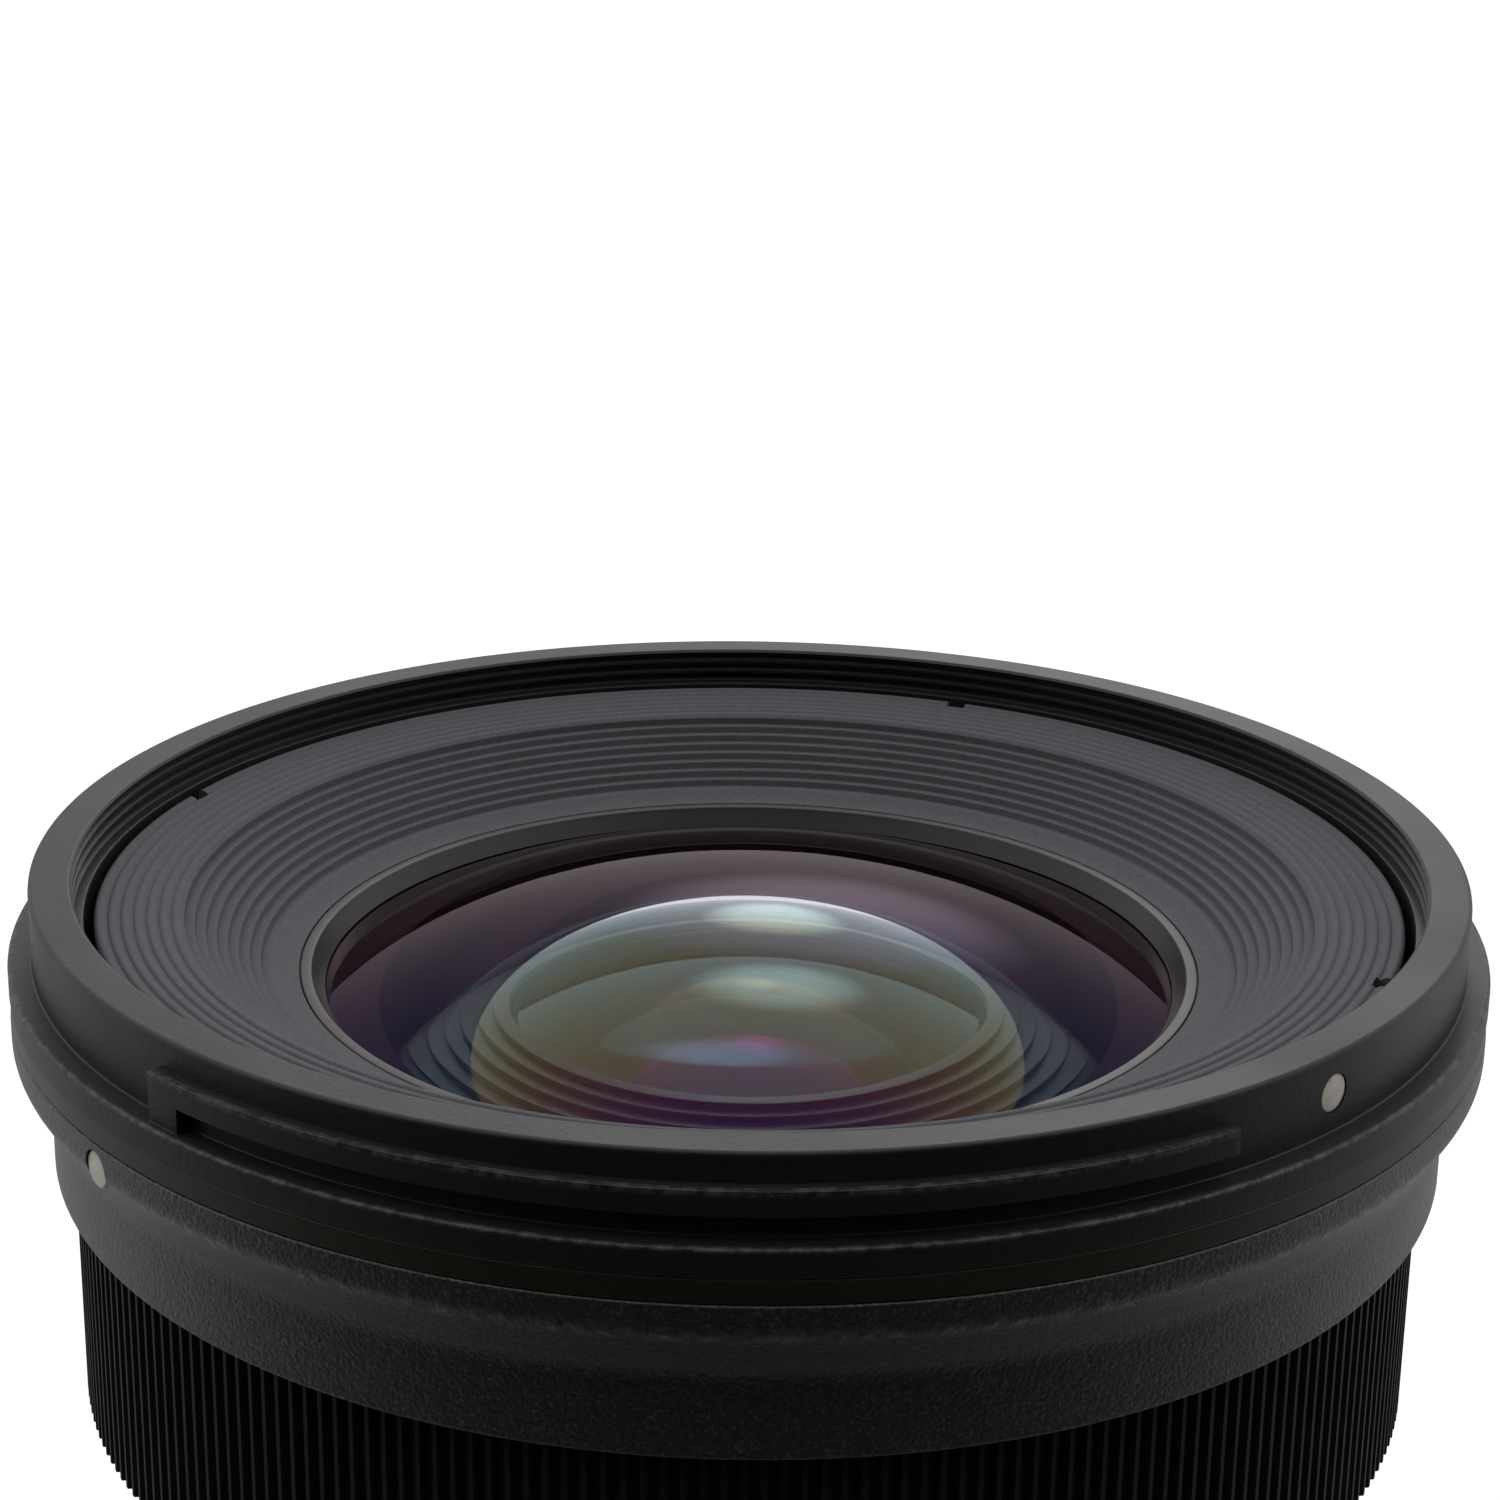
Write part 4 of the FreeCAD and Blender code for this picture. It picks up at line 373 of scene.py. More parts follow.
def on_hood_grip(radius, angle, height):
    """True on the rim's wall where a lug or the stop at its first end stands out."""
    if radius < RIM_RADIUS - 0.06 or radius > RIM_RADIUS + 0.06:
        return False
    along = (angle - LUG_START) % 180
    if LUG_LOW < height < LUG_TOP:
        return along < LUG_ARC
    return FLANGE_TOP < height < LUG_LOW and along < STOP_ARC


choose(rim, "FACE", on_hood_grip)
bpy.ops.mesh.extrude_region_move(TRANSFORM_OT_translate={"value": (0, 0, 0)})
spread(LUG_RADIUS / RIM_RADIUS)
bpy.ops.object.mode_set(mode="EDIT")
bpy.ops.mesh.region_to_loop()
bpy.ops.mesh.bevel(offset=0.16 * MM, segments=3, affect="EDGES", clamp_overlap=True)
bpy.ops.mesh.select_all(action="DESELECT")
bpy.ops.object.mode_set(mode="OBJECT")
pit(rim, *HOOD_DOT, DOT_PIT_RADIUS, floor=42.85, reach=44.0)
bpy.ops.object.shade_smooth_by_angle(angle=math.radians(40))
settle_normals(rim)
dress(rim, ring_black, "black_anodised", "root", "filter_ring")

# Trim band: thin painted hoop, a dark olive brown, clamped between the flange and the cover with a fine
# seam above and below.
BAND_LOW = 82.4
BAND_BORE = 41.3
BAND_RADIUS = 44.45
olive_paint = grained_finish("olive_paint", (0.026, 0.024, 0.015), 0.42, 1800, 0.12)
band = turned_piece("trim_hoop", [
    (BAND_BORE, BAND_LOW), (BAND_RADIUS, BAND_LOW, 0.2), (BAND_RADIUS, FLANGE_LOW, 0.2),
    (BAND_BORE, FLANGE_LOW)])
settle_normals(band)
dress(band, olive_paint, "olive_band", "root", "trim_band")

# Front cover: moulded outer shell with a pebbled, speckled finish. It tapers in to the focus ring and
# screws to the main barrel from inside. Its index mark is a paint-filled pit at the angle that is up when
# the lens is on a camera, where the window and the scales are too.
COVER_LOW = 72.56
COVER_RADIUS = 42.43
WALL_TOP = 77.61
SHOULDER = 80.6
TOP_ANGLE = -142.0
COVER_DOT = (TOP_ANGLE, 80.9)


def build_pebbles(name, colour, fleck, roughness):
    """Dark moulding with light flecks; they throw back light like scales rather than like paint."""
    material = bpy.data.materials.new(name)
    material.use_nodes = True
    tree = material.node_tree
    shader = tree.nodes["Principled BSDF"]
    place = tree.nodes.new("ShaderNodeTexCoord")
    coarse = add_node(tree, "ShaderNodeTexNoise", Scale=3200.0, Detail=3.0, Roughness=0.62)
    cells = add_node(tree, "ShaderNodeTexVoronoi", Scale=3600.0)
    stack = add_math(tree, "MULTIPLY_ADD", -0.45)
    bump = add_node(tree, "ShaderNodeBump", Strength=0.6, Distance=0.0001)
    spots = add_node(tree, "ShaderNodeTexNoise", Scale=4800.0, Detail=2.0, Roughness=0.55)
    flecks = add_node(tree, "ShaderNodeMapRange", From_Min=0.55, From_Max=0.66, To_Max=0.5)
    most = add_math(tree, "MAXIMUM")
    sheen = add_math(tree, "MULTIPLY", 0.7)
    mix = tree.nodes.new("ShaderNodeMix")
    mix.data_type = "RGBA"
    mix.inputs["A"].default_value = colour
    mix.inputs["B"].default_value = fleck
    shader.inputs["Roughness"].default_value = roughness
    shader.inputs["Specular IOR Level"].default_value = 0.85
    link = tree.links.new
    link(place.outputs["Object"], coarse.inputs["Vector"])
    link(place.outputs["Object"], cells.inputs["Vector"])
    link(place.outputs["Object"], spots.inputs["Vector"])
    link(cells.outputs["Distance"], stack.inputs[0])
    link(coarse.outputs["Fac"], stack.inputs[2])
    link(stack.outputs[0], bump.inputs["Height"])
    link(spots.outputs["Fac"], flecks.inputs["Value"])
    link(flecks.outputs["Result"], most.inputs[0])
    # A broken light line round the shoulder takes the fleck colour and metallic: painted highlight that is
    # partly rubbed wear.
    link(wear_and_highlight_line(tree, low=79.8, high=81.3, reach=40.0), most.inputs[1])
    link(most.outputs[0], sheen.inputs[0])
    link(sheen.outputs[0], shader.inputs["Metallic"])
    link(most.outputs[0], mix.inputs["Factor"])
    link(mix.outputs["Result"], shader.inputs["Base Color"])
    link(bump.outputs["Normal"], shader.inputs["Normal"])
    return material


pebbled_shell = build_pebbles("pebbled_shell", (0.025, 0.025, 0.024, 1), (0.21, 0.21, 0.205, 1), 0.42)
shell = turned_piece("cover_shell", [
    (BAND_BORE, BAND_LOW), (BAND_BORE, 78.9), (40.48, 78.9), (40.48, 73.86), (39.1, 73.86),
    (39.1, COVER_LOW, 0.1), (COVER_RADIUS, COVER_LOW, 0.25), (COVER_RADIUS, WALL_TOP, 0.9),
    (FLANGE_RADIUS, SHOULDER, 0.5), (FLANGE_RADIUS, BAND_LOW, 0.2)], sides=360)
pit(shell, *COVER_DOT, DOT_PIT_RADIUS, floor=43.6, reach=45.5)
bpy.ops.object.shade_smooth_by_angle(angle=math.radians(40))
settle_normals(shell)
dress(shell, pebbled_shell, "speckled_shell", "root", "front_cover")

# Index marks: white enamel wiped into pits, one on the filter ring and one on the cover for lining up the
# hood, and one standing a little proud at the mount.
enamel = grained_finish("index_enamel", (0.92, 0.88, 0.77), 0.4, 1500, 0.1)
MOUNT_DOT = (TOP_ANGLE, 6.2)
DOT_RADIUS = 1.1
DOT_DEPTH = 0.7
marks = []
for (angle, height), face in ((HOOD_DOT, 43.02), (COVER_DOT, 44.36), (MOUNT_DOT, 34.2)):
    turn = math.radians(angle)
    middle = (face - DOT_DEPTH / 2) * MM
    bpy.ops.mesh.primitive_cylinder_add(
        vertices=40, radius=DOT_RADIUS * MM, depth=DOT_DEPTH * MM,
        location=(middle * math.cos(turn), middle * math.sin(turn), height * MM),
        rotation=(0, math.radians(90), turn))
    mark = bpy.context.object
    bpy.ops.object.transform_apply(location=True, rotation=True, scale=True)
    choose(mark, "EDGE", lambda radius, at, z: radius > face - 0.12)
    bpy.ops.mesh.bevel(offset=0.12 * MM, segments=3, affect="EDGES")
    bpy.ops.object.mode_set(mode="OBJECT")
    bpy.ops.object.shade_smooth_by_angle(angle=math.radians(50))
    marks.append(mark)
index_marks = joined(marks)
index_marks.name = "index_marks"
dress(index_marks, enamel, "index_paint", "root", "index_dots")

# Front baffle: moulded light trap round the front element, in a matt grey black. Low ripples run round its
# outer half and stairs fall from them to a smooth lip. Four small notches take the assembly key.
BAFFLE_TOP = 87.57
CELL_TOP = 82.606
BAFFLE_RADIUS = 39.4
STAIR_RADIUS = 34.2
STAIR_FALL = 3.55
RIPPLES = 7
STAIRS = 8
RIPPLE_PITCH = 5.2 / RIPPLES
STAIR_PITCH = 5.1 / STAIRS
baffle_grey = grained_finish("baffle_grey", (0.135, 0.138, 0.149), 0.6, 3200, 0.3, level=0.03)
ripples = [(BAFFLE_RADIUS, 85.67), (BAFFLE_RADIUS, BAFFLE_TOP - 0.2)]
for index in range(RIPPLES):
    outer = BAFFLE_RADIUS - index * RIPPLE_PITCH
    crest = BAFFLE_TOP - 0.45 * index / RIPPLES
    ripples += [(outer - 0.2 * RIPPLE_PITCH, crest, 0.16), (outer - 0.62 * RIPPLE_PITCH, crest - 0.03, 0.14),
                (outer - RIPPLE_PITCH, crest - 0.22, 0.06)]
stairs = []
for index in range(STAIRS):
    outer = STAIR_RADIUS - index * STAIR_PITCH
    level = BAFFLE_TOP - 0.65 - STAIR_FALL * (index + 1) / STAIRS
    stairs += [(outer - 0.15 * STAIR_PITCH, level, 0.05), (outer - STAIR_PITCH, level + 0.02, 0.1)]
lip = [(29.0 - 1.5 * part, 83.35 - 0.5 * math.sin(part * math.pi / 2)) for part in (0.05, 0.25, 0.5, 0.75, 1)]
baffle = turned_piece("baffle_cone", ripples + [(34.14, BAFFLE_TOP - 0.65, 0.05)] + stairs + lip + [
    (27.5, CELL_TOP), (29.7, CELL_TOP), (STAIR_RADIUS, 85.2), (38.2, 85.92), (38.2, 85.67)],
    sides=300, smooth=34)
settle_normals(baffle)
for index in range(4):
    turn = math.radians(-112 + 90 * index)
    middle = (BAFFLE_RADIUS - 0.1) * MM
    bpy.ops.mesh.primitive_cube_add(
        size=1, rotation=(0, 0, turn), scale=(1.8 * MM, 1.3 * MM, 2.1 * MM),
        location=(middle * math.cos(turn), middle * math.sin(turn), (BAFFLE_TOP - 0.55) * MM))
    key = bpy.context.object
    cut = baffle.modifiers.new("notch", "BOOLEAN")
    cut.object = key
    bpy.context.view_layer.objects.active = baffle
    bpy.ops.object.modifier_apply(modifier="notch")
    bpy.data.objects.remove(key)
dress(baffle, baffle_grey, "baffle_coating", "front_group", "front_baffle")

# Retaining ring: thin painted metal ring screwed down on the front element's edge, with a black inner
# slope that runs down to the glass.
SLOPE_BORE = 25.95
SLOPE_RADIUS = 26.7
RING_RADIUS = 27.4
RING_TOP = 82.85
ring_paint = grained_finish("ring_paint", (0.045, 0.041, 0.037), 0.42, 2400, 0.15)
slope_black = grained_finish("slope_black", (0.008, 0.008, 0.0085), 0.35, 2400, 0.1)
ring = turned_piece("element_ring", [
    (SLOPE_BORE, 81.775), (26.95, 81.306), (26.95, CELL_TOP), (RING_RADIUS, CELL_TOP),
    (RING_RADIUS, RING_TOP, 0.08), (26.75, RING_TOP, 0.08), (26.6, 82.6)])
settle_normals(ring)
dress(ring, ring_paint, "retainer_metal", "front_group", "front_retainer")
ring.data.materials.append(slope_black)
for face in ring.data.polygons:
    across = math.hypot(face.center.x, face.center.y) / MM
    if across < SLOPE_RADIUS and face.center.z < (RING_TOP - 0.1) * MM:
        face.material_index = 1

# Lens elements: ground and polished optical glass with thin coatings. Each one sits on a seat in its cell.
# The coatings throw back a little purple, green or blue, and the ground edges are painted a dark maroon.


def coated_finish(name, film=0.0, film_index=1.33, index=1.5):
    """Clear glass under a thin film: its thickness in nanometres, its index and the index of the glass."""
    material = bpy.data.materials.new(name)
    material.use_nodes = True
    shader = material.node_tree.nodes["Principled BSDF"]
    shader.inputs["Base Color"].default_value = (0.98, 0.99, 0.98, 1)
    shader.inputs["Roughness"].default_value = 0.0
    shader.inputs["IOR"].default_value = index
    shader.inputs["Transmission Weight"].default_value = 1.0
    shader.inputs["Thin Film Thickness"].default_value = film
    shader.inputs["Thin Film IOR"].default_value = film_index
    return material


purple_coat = coated_finish("purple_coated_glass", 160.0, 1.24)
olive_coat = coated_finish("olive_coated_glass", 493.0, 1.22)
green_coat = coated_finish("green_coated_glass", 288.0, 1.22)
violet_coat = coated_finish("violet_coated_glass", 404.0, 1.22)
blue_coat = coated_finish("blue_coated_glass", 300.0, 1.3)
edge_paint = bpy.data.materials.new("lens_edge_paint")
edge_paint.use_nodes = True
paint_shader = edge_paint.node_tree.nodes["Principled BSDF"]
paint_shader.inputs["Base Color"].default_value = (0.055, 0.026, 0.038, 1)
paint_shader.inputs["Roughness"].default_value = 0.8
paint_shader.inputs["Specular IOR Level"].default_value = 0.0


def dome(vertex, bend, reach, rises, steps=14):
    """Points of a spherical face of radius bend, from its rim in to its vertex on the axis."""
    points = []
    for step in range(steps):
        radius = reach * math.cos(step / steps * math.pi / 2)
        fall = bend - math.sqrt(bend * bend - radius * radius)
        points.append((radius, vertex + (fall if rises else -fall)))
    return points + [(0, vertex)]


def ground_element(name, coats, body, edge, front, rear):
    """A lens whose faces are (vertex height, curve radius, reach, rises towards the rim), in millimetres."""
    upper = dome(*front)
    lower = dome(*rear)
    mid = (upper[0][1] + lower[0][1]) / 2
    halves = []
    for points in (upper, lower):
        side = [(edge, mid)] + ([(edge, points[0][1])] if points[0][0] < edge - 0.01 else [])
        halves.append(turned_piece(name, side + points, smooth=50))
    piece = joined(halves)
    bpy.ops.object.mode_set(mode="EDIT")
    bpy.ops.mesh.select_all(action="SELECT")
    bpy.ops.mesh.remove_doubles(threshold=1e-6)
    bpy.ops.mesh.normals_make_consistent(inside=False)
    bpy.ops.object.mode_set(mode="OBJECT")
    bpy.ops.object.shade_smooth_by_angle(angle=math.radians(30))
    piece.name = name + "_lens"
    dress(piece, coats[0], "coated_glass", body, name)
    piece.data.materials.append(coats[1])
    piece.data.materials.append(edge_paint)
    for face in piece.data.polygons:
        across = math.hypot(face.center.x, face.center.y) / MM
        rear_side = face.normal.z < 0
        if across > rear[2] + 0.005 and rear_side or across > edge - 0.01:
            face.material_index = 2
        else:
            face.material_index = 1 if rear_side else 0


ground_element("front_element", (purple_coat, olive_coat), "front_group", 27.0, (87.08, 65, 27.0, False),
               (83.4, 32, 21.0, False))
ground_element("second_element", (green_coat, purple_coat), "front_group", 17.0, (78.6, 60, 17.0, False),
               (76.9, 18, 13.5, False))
ground_element("third_element", (violet_coat, blue_coat), "front_group", 14.0, (69.6, 40, 14.0, False),
               (64.6, 60, 14.0, True))
ground_element("focus_element", (green_coat, purple_coat), "focus_group", 13.0, (58.0, 30, 13.0, False),
               (56.4, 22, 11.0, False))
ground_element("fifth_element", (purple_coat, blue_coat), "middle_group", 9.5, (39.6, 22, 9.5, False),
               (36.7, 104, 9.5, True))
ground_element("sixth_element", (blue_coat, violet_coat), "middle_group", 9.0, (35.8, 90, 9.0, False),
               (34.2, 26, 8.0, False))
ground_element("seventh_element", (green_coat, violet_coat), "rear_group", 13.0, (26.0, 30, 13.0, False),
               (20.8, 96, 13.0, True))
ground_element("rear_element", (blue_coat, green_coat), "rear_group", 13.0, (19.8, 144, 13.0, True),
               (16.4, 45, 13.0, True))

# Light trap: stepped black ring on the cell's ledge, between the first two elements. It holds the
# second element down and catches stray light, so its steps show through the front glass.
trap_black = grained_finish("trap_black", (0.005, 0.005, 0.005), 0.4, 2600, 0.1)
TRAP_FLOOR = 75.545
TRAP_BORE = 17.15
TRAP_RADIUS = 20.6
TRAP_STEPS = 6
TRAP_PITCH = 5.6 / TRAP_STEPS
outline = [(TRAP_BORE, TRAP_FLOOR), (TRAP_RADIUS, TRAP_FLOOR)]
for index in range(TRAP_STEPS):
    step_edge = TRAP_RADIUS - index * TRAP_PITCH
    step_level = TRAP_FLOOR + 0.36 * (index + 0.5)
    outline += [(step_edge, step_level, 0.06), (step_edge - TRAP_PITCH, step_level - 0.108)]
outline += [(15.0, 76.795), (TRAP_BORE, 76.24)]
trap = turned_piece("trap_ring", outline)
dress(trap, trap_black, "cell_plastic", "front_group", "light_trap")

# Rubber sleeves: moulded rubber with fine upright ribs, stretched over the cores of the focus ring and the
# zoom ring.
rubber = grained_finish("ribbed_rubber", (0.009, 0.009, 0.009), 0.62, 3600, 0.3, level=0.35)


def ribbed_sleeve(name, bore, floor, crest, low, high, ribs, body, node):
    """A sleeve between two heights, whose ribs stand from the floor radius to the crest radius."""
    sleeve = turned_piece(name, [(bore, low), (floor, low), (floor, high), (bore, high)], sides=4 * ribs)
    step = 360.0 / (4 * ribs)
    choose(sleeve, "VERT", lambda radius, angle, height: radius > bore + 0.3
           and round((angle - 90) / step) % 4 < 2)
    spread(crest / floor)
    bpy.ops.object.shade_smooth_by_angle(angle=math.radians(15))
    dress(sleeve, rubber, "ribbed_rubber", body, node)


ribbed_sleeve("focus_rubber", bore=40.1, floor=40.8, crest=41.3, low=57.26, high=72.26, ribs=252,
              body="focus_body", node="focus_grip")
ribbed_sleeve("zoom_rubber", bore=37.2, floor=38.1, crest=38.6, low=23.4, high=39.6, ribs=236,
              body="zoom_body", node="zoom_grip")

# Shells behind the focus ring: the window barrel, the zoom ring's core and the rear barrel are moulded and
# pebbled as the cover is, with small rounded edges where the mould parts.


def softened(node, name, width, material, slot, body):
    """Copies a CAD piece and gives its edges the small rounding that its mould or cutter leaves."""
    piece = bpy.data.objects.new(name, frame["nodes"][node].data.copy())
    bpy.context.scene.collection.objects.link(piece)
    bpy.ops.object.select_all(action="DESELECT")
    piece.select_set(True)
    bpy.context.view_layer.objects.active = piece
    bpy.ops.object.mode_set(mode="EDIT")
    bpy.ops.mesh.select_all(action="SELECT")
    bpy.ops.mesh.remove_doubles(threshold=1e-6)
    bpy.ops.mesh.dissolve_limited(angle_limit=math.radians(0.5))
    bpy.ops.mesh.select_all(action="DESELECT")
    bpy.ops.object.mode_set(mode="OBJECT")
    rounding = piece.modifiers.new("rounding", "BEVEL")
    rounding.width = width * MM
    rounding.segments = 2
    rounding.limit_method = "ANGLE"
    rounding.angle_limit = math.radians(35)
    bpy.ops.object.modifier_apply(modifier="rounding")
    bpy.ops.object.shade_smooth_by_angle(angle=math.radians(35))
    settle_normals(piece)
    dress(piece, material, slot, body, node)
    return piece


softened("window_barrel", "window_shell", 0.15, pebbled_shell, "speckled_shell", "root")
softened("zoom_ring", "zoom_core", 0.15, pebbled_shell, "speckled_shell", "zoom_body")
softened("rear_barrel", "rear_shell", 0.15, pebbled_shell, "speckled_shell", "root")

# Focus switch: a plate set into a flat pad on the side, and a ridged slider that moves a travel along it.
switch_black = grained_finish("switch_black", (0.012, 0.012, 0.0125), 0.38, 2400, 0.2)
softened("switch_plate", "switch_frame", 0.12, moulded_black, "speckled_shell", "root")
softened("switch_knob", "switch_slider", 0.1, switch_black, "cell_plastic", "switch_body")

# Scales: white numbers and strokes printed on the distance drum, which shows through the window, and on the
# front edge of the zoom ring, with an index stroke on the barrel between them.
STROKE_WIDTH = 0.28
print_white = grained_finish("print_white", (0.8, 0.8, 0.78), 0.5, 1500, 0.05)


def printed(name, marks, body):
    """marks are (words, angle, radius, height, size): text or, with no words, an upright stroke."""
    shapes = []
    for words, angle, radius, height, size in marks:
        turn = math.radians(angle)
        spot = (radius * MM * math.cos(turn), radius * MM * math.sin(turn), height * MM)
        facing = (math.radians(90), 0, turn + math.radians(90))
        if words:
            bpy.ops.object.text_add(location=spot, rotation=facing)
            shape = bpy.context.object
            shape.data.body = words
            shape.data.size = size * MM
            shape.data.align_x = "CENTER"
            shape.data.align_y = "CENTER"
            shape.data.resolution_u = 3
            bpy.ops.object.convert(target="MESH")
        else:
            bpy.ops.mesh.primitive_plane_add(size=1, location=spot, rotation=facing)
            shape = bpy.context.object
            shape.scale = (STROKE_WIDTH * MM, size * MM, 1)
        bpy.ops.object.transform_apply(location=True, rotation=True, scale=True)
        shapes.append(shape)
    piece = joined(shapes)
    piece.name = name
    dress(piece, print_white, "index_paint", body)


distances = [("0.3", 42), ("0.4", 32), ("0.6", 22), ("1", 13), ("2", 5), ("5", -2)]
printed("distance_scale", [(words, TOP_ANGLE - turn, 36.6, 50.9, 2.0) for words, turn in distances]
        + [("", TOP_ANGLE - turn, 36.56, 48.3, 1.3) for words, turn in distances], "drive_body")
lengths = [("16", 0), ("20", 20), ("24", 38), ("28", 53), ("35", 70)]
printed("zoom_scale", [(words, TOP_ANGLE - turn, 38.36, 41.0, 1.9) for words, turn in lengths], "zoom_body")
printed("zoom_index", [("", TOP_ANGLE, 38.45, 44.6, 1.6)], "root")

# Barrel screws: flat-headed steel screws, blackened, whose cross recesses show in bores round the rear
# barrel. They go through it into the main barrel.
RECESS_LENGTH = 1.5
RECESS_WIDTH = 0.34
RECESS_REACH = 0.9
screw_black = grained_finish("screw_black", (0.12, 0.12, 0.12), 0.35, 900, 0.08, metallic=1.0, patches=0.04)


def cross_head(angle, height, seat, head, shank, top, foot):
    """A screw along a radius, from foot to seat to top, with an eased head edge and a cross recess."""
    turn = math.radians(angle)
    bpy.ops.mesh.primitive_cylinder_add(vertices=40, radius=head * MM, depth=(top - seat) * MM,
                                        location=(0, 0, (seat + top) / 2 * MM))
    screw = bpy.context.object
    bpy.ops.object.transform_apply(location=True, rotation=True, scale=True)
    choose(screw, "FACE", lambda radius, around, level: level > top - 0.01)
    bpy.ops.mesh.bevel(offset=0.15 * MM, segments=3, affect="EDGES")
    bpy.ops.object.mode_set(mode="OBJECT")
    choose(screw, "FACE", lambda radius, around, level: level < seat + 0.01)
    bpy.ops.mesh.inset(thickness=(head - shank) * MM)
    bpy.ops.mesh.extrude_region_move(TRANSFORM_OT_translate={"value": (0, 0, (foot - seat) * MM)})
    bpy.ops.object.mode_set(mode="OBJECT")
    for sideways in (False, True):
        bpy.ops.mesh.primitive_cube_add(size=1, location=(0, 0, top * MM))
        blade = bpy.context.object
        along, across = (RECESS_WIDTH, RECESS_LENGTH) if sideways else (RECESS_LENGTH, RECESS_WIDTH)
        blade.scale = (along * MM, across * MM, RECESS_REACH * MM)
        cut = screw.modifiers.new("recess", "BOOLEAN")
        cut.object = blade
        cut.operation = "DIFFERENCE"
        bpy.context.view_layer.objects.active = screw
        bpy.ops.object.modifier_apply(modifier="recess")
        bpy.data.objects.remove(blade)
    bpy.ops.object.select_all(action="DESELECT")
    screw.select_set(True)
    screw.rotation_euler = (0, math.radians(90), turn)
    screw.location = (0, 0, height * MM)
    bpy.ops.object.transform_apply(location=True, rotation=True, scale=True)
    bpy.ops.object.shade_smooth_by_angle(angle=math.radians(35))
    return screw


screws = joined([cross_head(angle, height=17.0, seat=35.25, head=1.5, shank=0.8, top=37.4, foot=34.0)
                 for angle in (-82, 38, 158)])
screws.name = "side_screw"
dress(screws, screw_black, "fastener_steel", "root", "rear_screws")

# Mount: bright plated brass plate with bayonet lugs, round a black moulded rear baffle and a black block
# that holds the contacts. The plate is screwed to the rear barrel's floor through a thin steel shim.
cell_black = grained_finish("cell_black", (0.014, 0.014, 0.015), 0.6, 2500, 0.2)
bright_plate = grained_finish("bright_plate", (0.72, 0.72, 0.73), 0.26, 1600, 0.03, metallic=1.0,
                              patches=0.03)
softened("mount_plate", "mount_flange", 0.1, bright_plate, "mount_chrome", "root")
softened("rear_baffle", "rear_light_baffle", 0.15, cell_black, "cell_plastic", "root")
softened("contact_block", "contact_holder", 0.1, cell_black, "cell_plastic", "root")

# Mount screws: four countersunk steel screws, bright plated. They share their solids' node with the barrel
# screws, so the screws above their own height are taken off the copy.
MOUNT_SCREW_TOP = 8.0
plated_steel = grained_finish("plated_steel", (0.55, 0.55, 0.56), 0.3, 900, 0.08, metallic=1.0, patches=0.04)
plate_screws = softened("rear_screws", "plate_screws", 0.04, plated_steel, "fastener_steel", "root")
choose(plate_screws, "FACE", lambda radius, around, level: level > MOUNT_SCREW_TOP)
bpy.ops.mesh.delete(type="FACE")
bpy.ops.object.mode_set(mode="OBJECT")

# Inner pieces and contacts: these stay as the solids are. Tubes are turned aluminium, anodised black, cells
# are black plastic, and pins, springs and rollers are brass or steel.
tube_black = grained_finish("anodised_tube", (0.05, 0.05, 0.053), 0.4, 1500, 0.15, metallic=0.6)
ground_steel = grained_finish("ground_steel", (0.5, 0.5, 0.51), 0.35, 1200, 0.1, metallic=1.0, patches=0.04)
blade_black = grained_finish("blade_black", (0.02, 0.02, 0.021), 0.5, 1500, 0.1, metallic=0.3)
turned_brass = grained_finish("turned_brass", (0.72, 0.52, 0.24), 0.3, 900, 0.08, metallic=1.0, patches=0.04)
contact_plate = grained_finish("contact_plate", (0.86, 0.62, 0.24), 0.25, 900, 0.05, metallic=1.0,
                               patches=0.03)
board_green = grained_finish("board_green", (0.02, 0.1, 0.045), 0.45, 1400, 0.1)
pane = coated_finish("pane_plastic", index=1.49)
finishes = {
    "black_anodised": moulded_black, "baffle_coating": baffle_grey, "olive_band": olive_paint,
    "speckled_shell": pebbled_shell, "index_paint": enamel, "ribbed_rubber": rubber,
    "machined_aluminium": tube_black, "cell_plastic": cell_black, "retainer_metal": ring_paint,
    "coated_glass": purple_coat, "window_pane": pane, "motor_steel": ground_steel,
    "blade_steel": blade_black, "fastener_steel": plated_steel, "follower_brass": turned_brass,
    "mount_chrome": bright_plate, "contact_gold": contact_plate, "board_laminate": board_green,
}
for subpart in frame["record"]["subparts"]:
    node = frame["nodes"][subpart["node"]]
    node.data.materials.clear()
    node.data.materials.append(finishes[subpart["material_slot"]])

# Floor: a pale sheet under the mount that runs out of sight. For the lens itself it is dark on the camera's
# side, so that only its far part lights the walls from below.
MOUNT_FOOT = -6.4
bpy.ops.mesh.primitive_circle_add(vertices=96, radius=3.0, fill_type="NGON", location=(0, 0, 0))
floor = bpy.context.object
floor.name = "studio_floor"
floor.location.z = MOUNT_FOOT * MM
floor_paint = bpy.data.materials.new("studio_floor")
floor_paint.use_nodes = True
tree = floor_paint.node_tree
tree.nodes.clear()
output = tree.nodes.new("ShaderNodeOutputMaterial")
seen = add_node(tree, "ShaderNodeBsdfDiffuse", Color=(0.85, 0.85, 0.85, 1))
glow = add_node(tree, "ShaderNodeEmission", Strength=0.5)
seen_sum = tree.nodes.new("ShaderNodeAddShader")
lit = tree.nodes.new("ShaderNodeBsdfDiffuse")
place = tree.nodes.new("ShaderNodeTexCoord")
split = tree.nodes.new("ShaderNodeSeparateXYZ")
fade = add_node(tree, "ShaderNodeMapRange", From_Min=-0.12, From_Max=0.05, To_Min=0.02, To_Max=0.8)
path = tree.nodes.new("ShaderNodeLightPath")
pick = tree.nodes.new("ShaderNodeMixShader")
link = tree.links.new
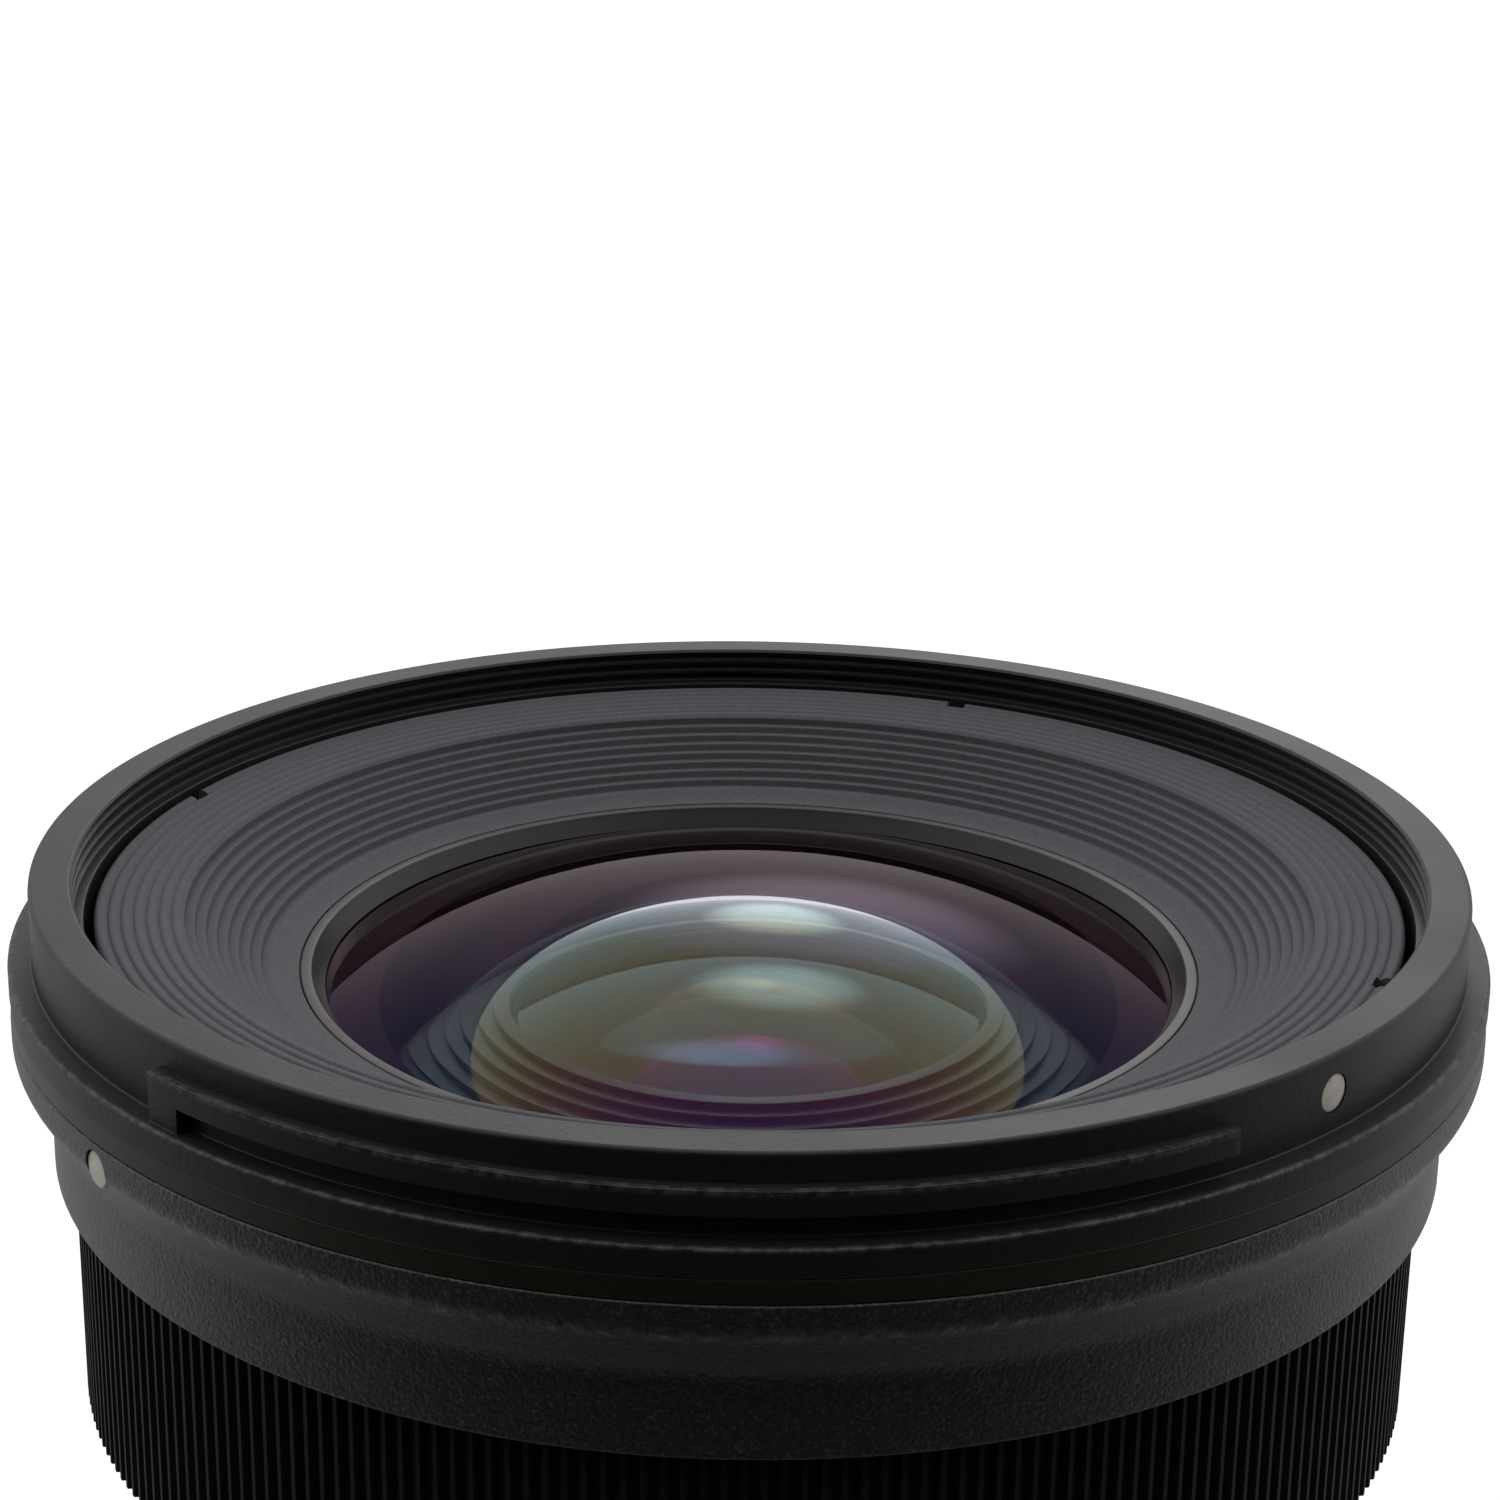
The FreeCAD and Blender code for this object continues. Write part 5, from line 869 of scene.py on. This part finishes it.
link(place.outputs["Object"], split.inputs["Vector"])
link(split.outputs["Y"], fade.inputs["Value"])
link(fade.outputs["Result"], lit.inputs["Color"])
link(seen.outputs[0], seen_sum.inputs[0])
link(glow.outputs[0], seen_sum.inputs[1])
link(path.outputs["Is Camera Ray"], pick.inputs[0])
link(lit.outputs[0], pick.inputs[1])
link(seen_sum.outputs[0], pick.inputs[2])
link(pick.outputs[0], output.inputs["Surface"])
floor.data.materials.append(floor_paint)

# Surround: white behind, beside and above the lens, dark towards the camera, with one soft lamp behind and
# above. The camera itself sees plain white.
world = bpy.data.worlds.new("white_surround")
bpy.context.scene.world = world
world.use_nodes = True
tree = world.node_tree
tree.nodes.clear()
output = tree.nodes.new("ShaderNodeOutputWorld")
place = tree.nodes.new("ShaderNodeTexCoord")
split = tree.nodes.new("ShaderNodeSeparateXYZ")
height_part = add_math(tree, "MULTIPLY_ADD", 0.5)
side = add_node(tree, "ShaderNodeMapRange", From_Min=-0.4, From_Max=0.02, To_Min=0.006, To_Max=1.0)
toward = tree.nodes.new("ShaderNodeVectorMath")
toward.operation = "DOT_PRODUCT"
toward.inputs[1].default_value = (0.077, 0.88, 0.469)
softbox = add_node(tree, "ShaderNodeMapRange", From_Min=0.97, To_Max=2.8)
softbox.interpolation_type = "SMOOTHSTEP"
both = add_math(tree, "ADD")
card = add_node(tree, "ShaderNodeBackground")
white = add_node(tree, "ShaderNodeBackground", Color=(1, 1, 1, 1), Strength=1.0)
path = tree.nodes.new("ShaderNodeLightPath")
pick = tree.nodes.new("ShaderNodeMixShader")
link = tree.links.new
link(place.outputs["Generated"], split.inputs["Vector"])
link(split.outputs["Z"], height_part.inputs[0])
link(split.outputs["Y"], height_part.inputs[2])
link(height_part.outputs[0], side.inputs["Value"])
link(place.outputs["Generated"], toward.inputs[0])
link(toward.outputs["Value"], softbox.inputs["Value"])
link(side.outputs["Result"], both.inputs[0])
link(softbox.outputs["Result"], both.inputs[1])
link(both.outputs[0], card.inputs["Strength"])
link(path.outputs["Is Camera Ray"], pick.inputs[0])
link(card.outputs[0], pick.inputs[1])
link(white.outputs[0], pick.inputs[2])
link(pick.outputs[0], output.inputs["Surface"])

# Camera: at the photograph's place, as fitted to the outline of the rings. It looks down on the rim and is
# turned and rolled by a fraction of a degree.
CAMERA_PLACE = (0, -0.18589, 0.15867)
CAMERA_DIP = 18.624
CAMERA_TURN = 0.0365
CAMERA_ROLL = 0.7856
camera_data = bpy.data.cameras.new("photo_camera")
camera_data.sensor_width = 36.0
camera_data.lens = 78.04
camera_data.clip_start = 0.01
camera = bpy.data.objects.new("photo_camera", camera_data)
bpy.context.scene.collection.objects.link(camera)
turned_view = (Matrix.Rotation(math.radians(CAMERA_TURN), 4, "Z")
               @ Matrix.Rotation(math.radians(90 - CAMERA_DIP), 4, "X")
               @ Matrix.Rotation(math.radians(CAMERA_ROLL), 4, "Z"))
camera.matrix_world = Matrix.Translation(CAMERA_PLACE) @ turned_view
bpy.context.scene.camera = camera
bpy.context.scene.view_settings.view_transform = "Standard"
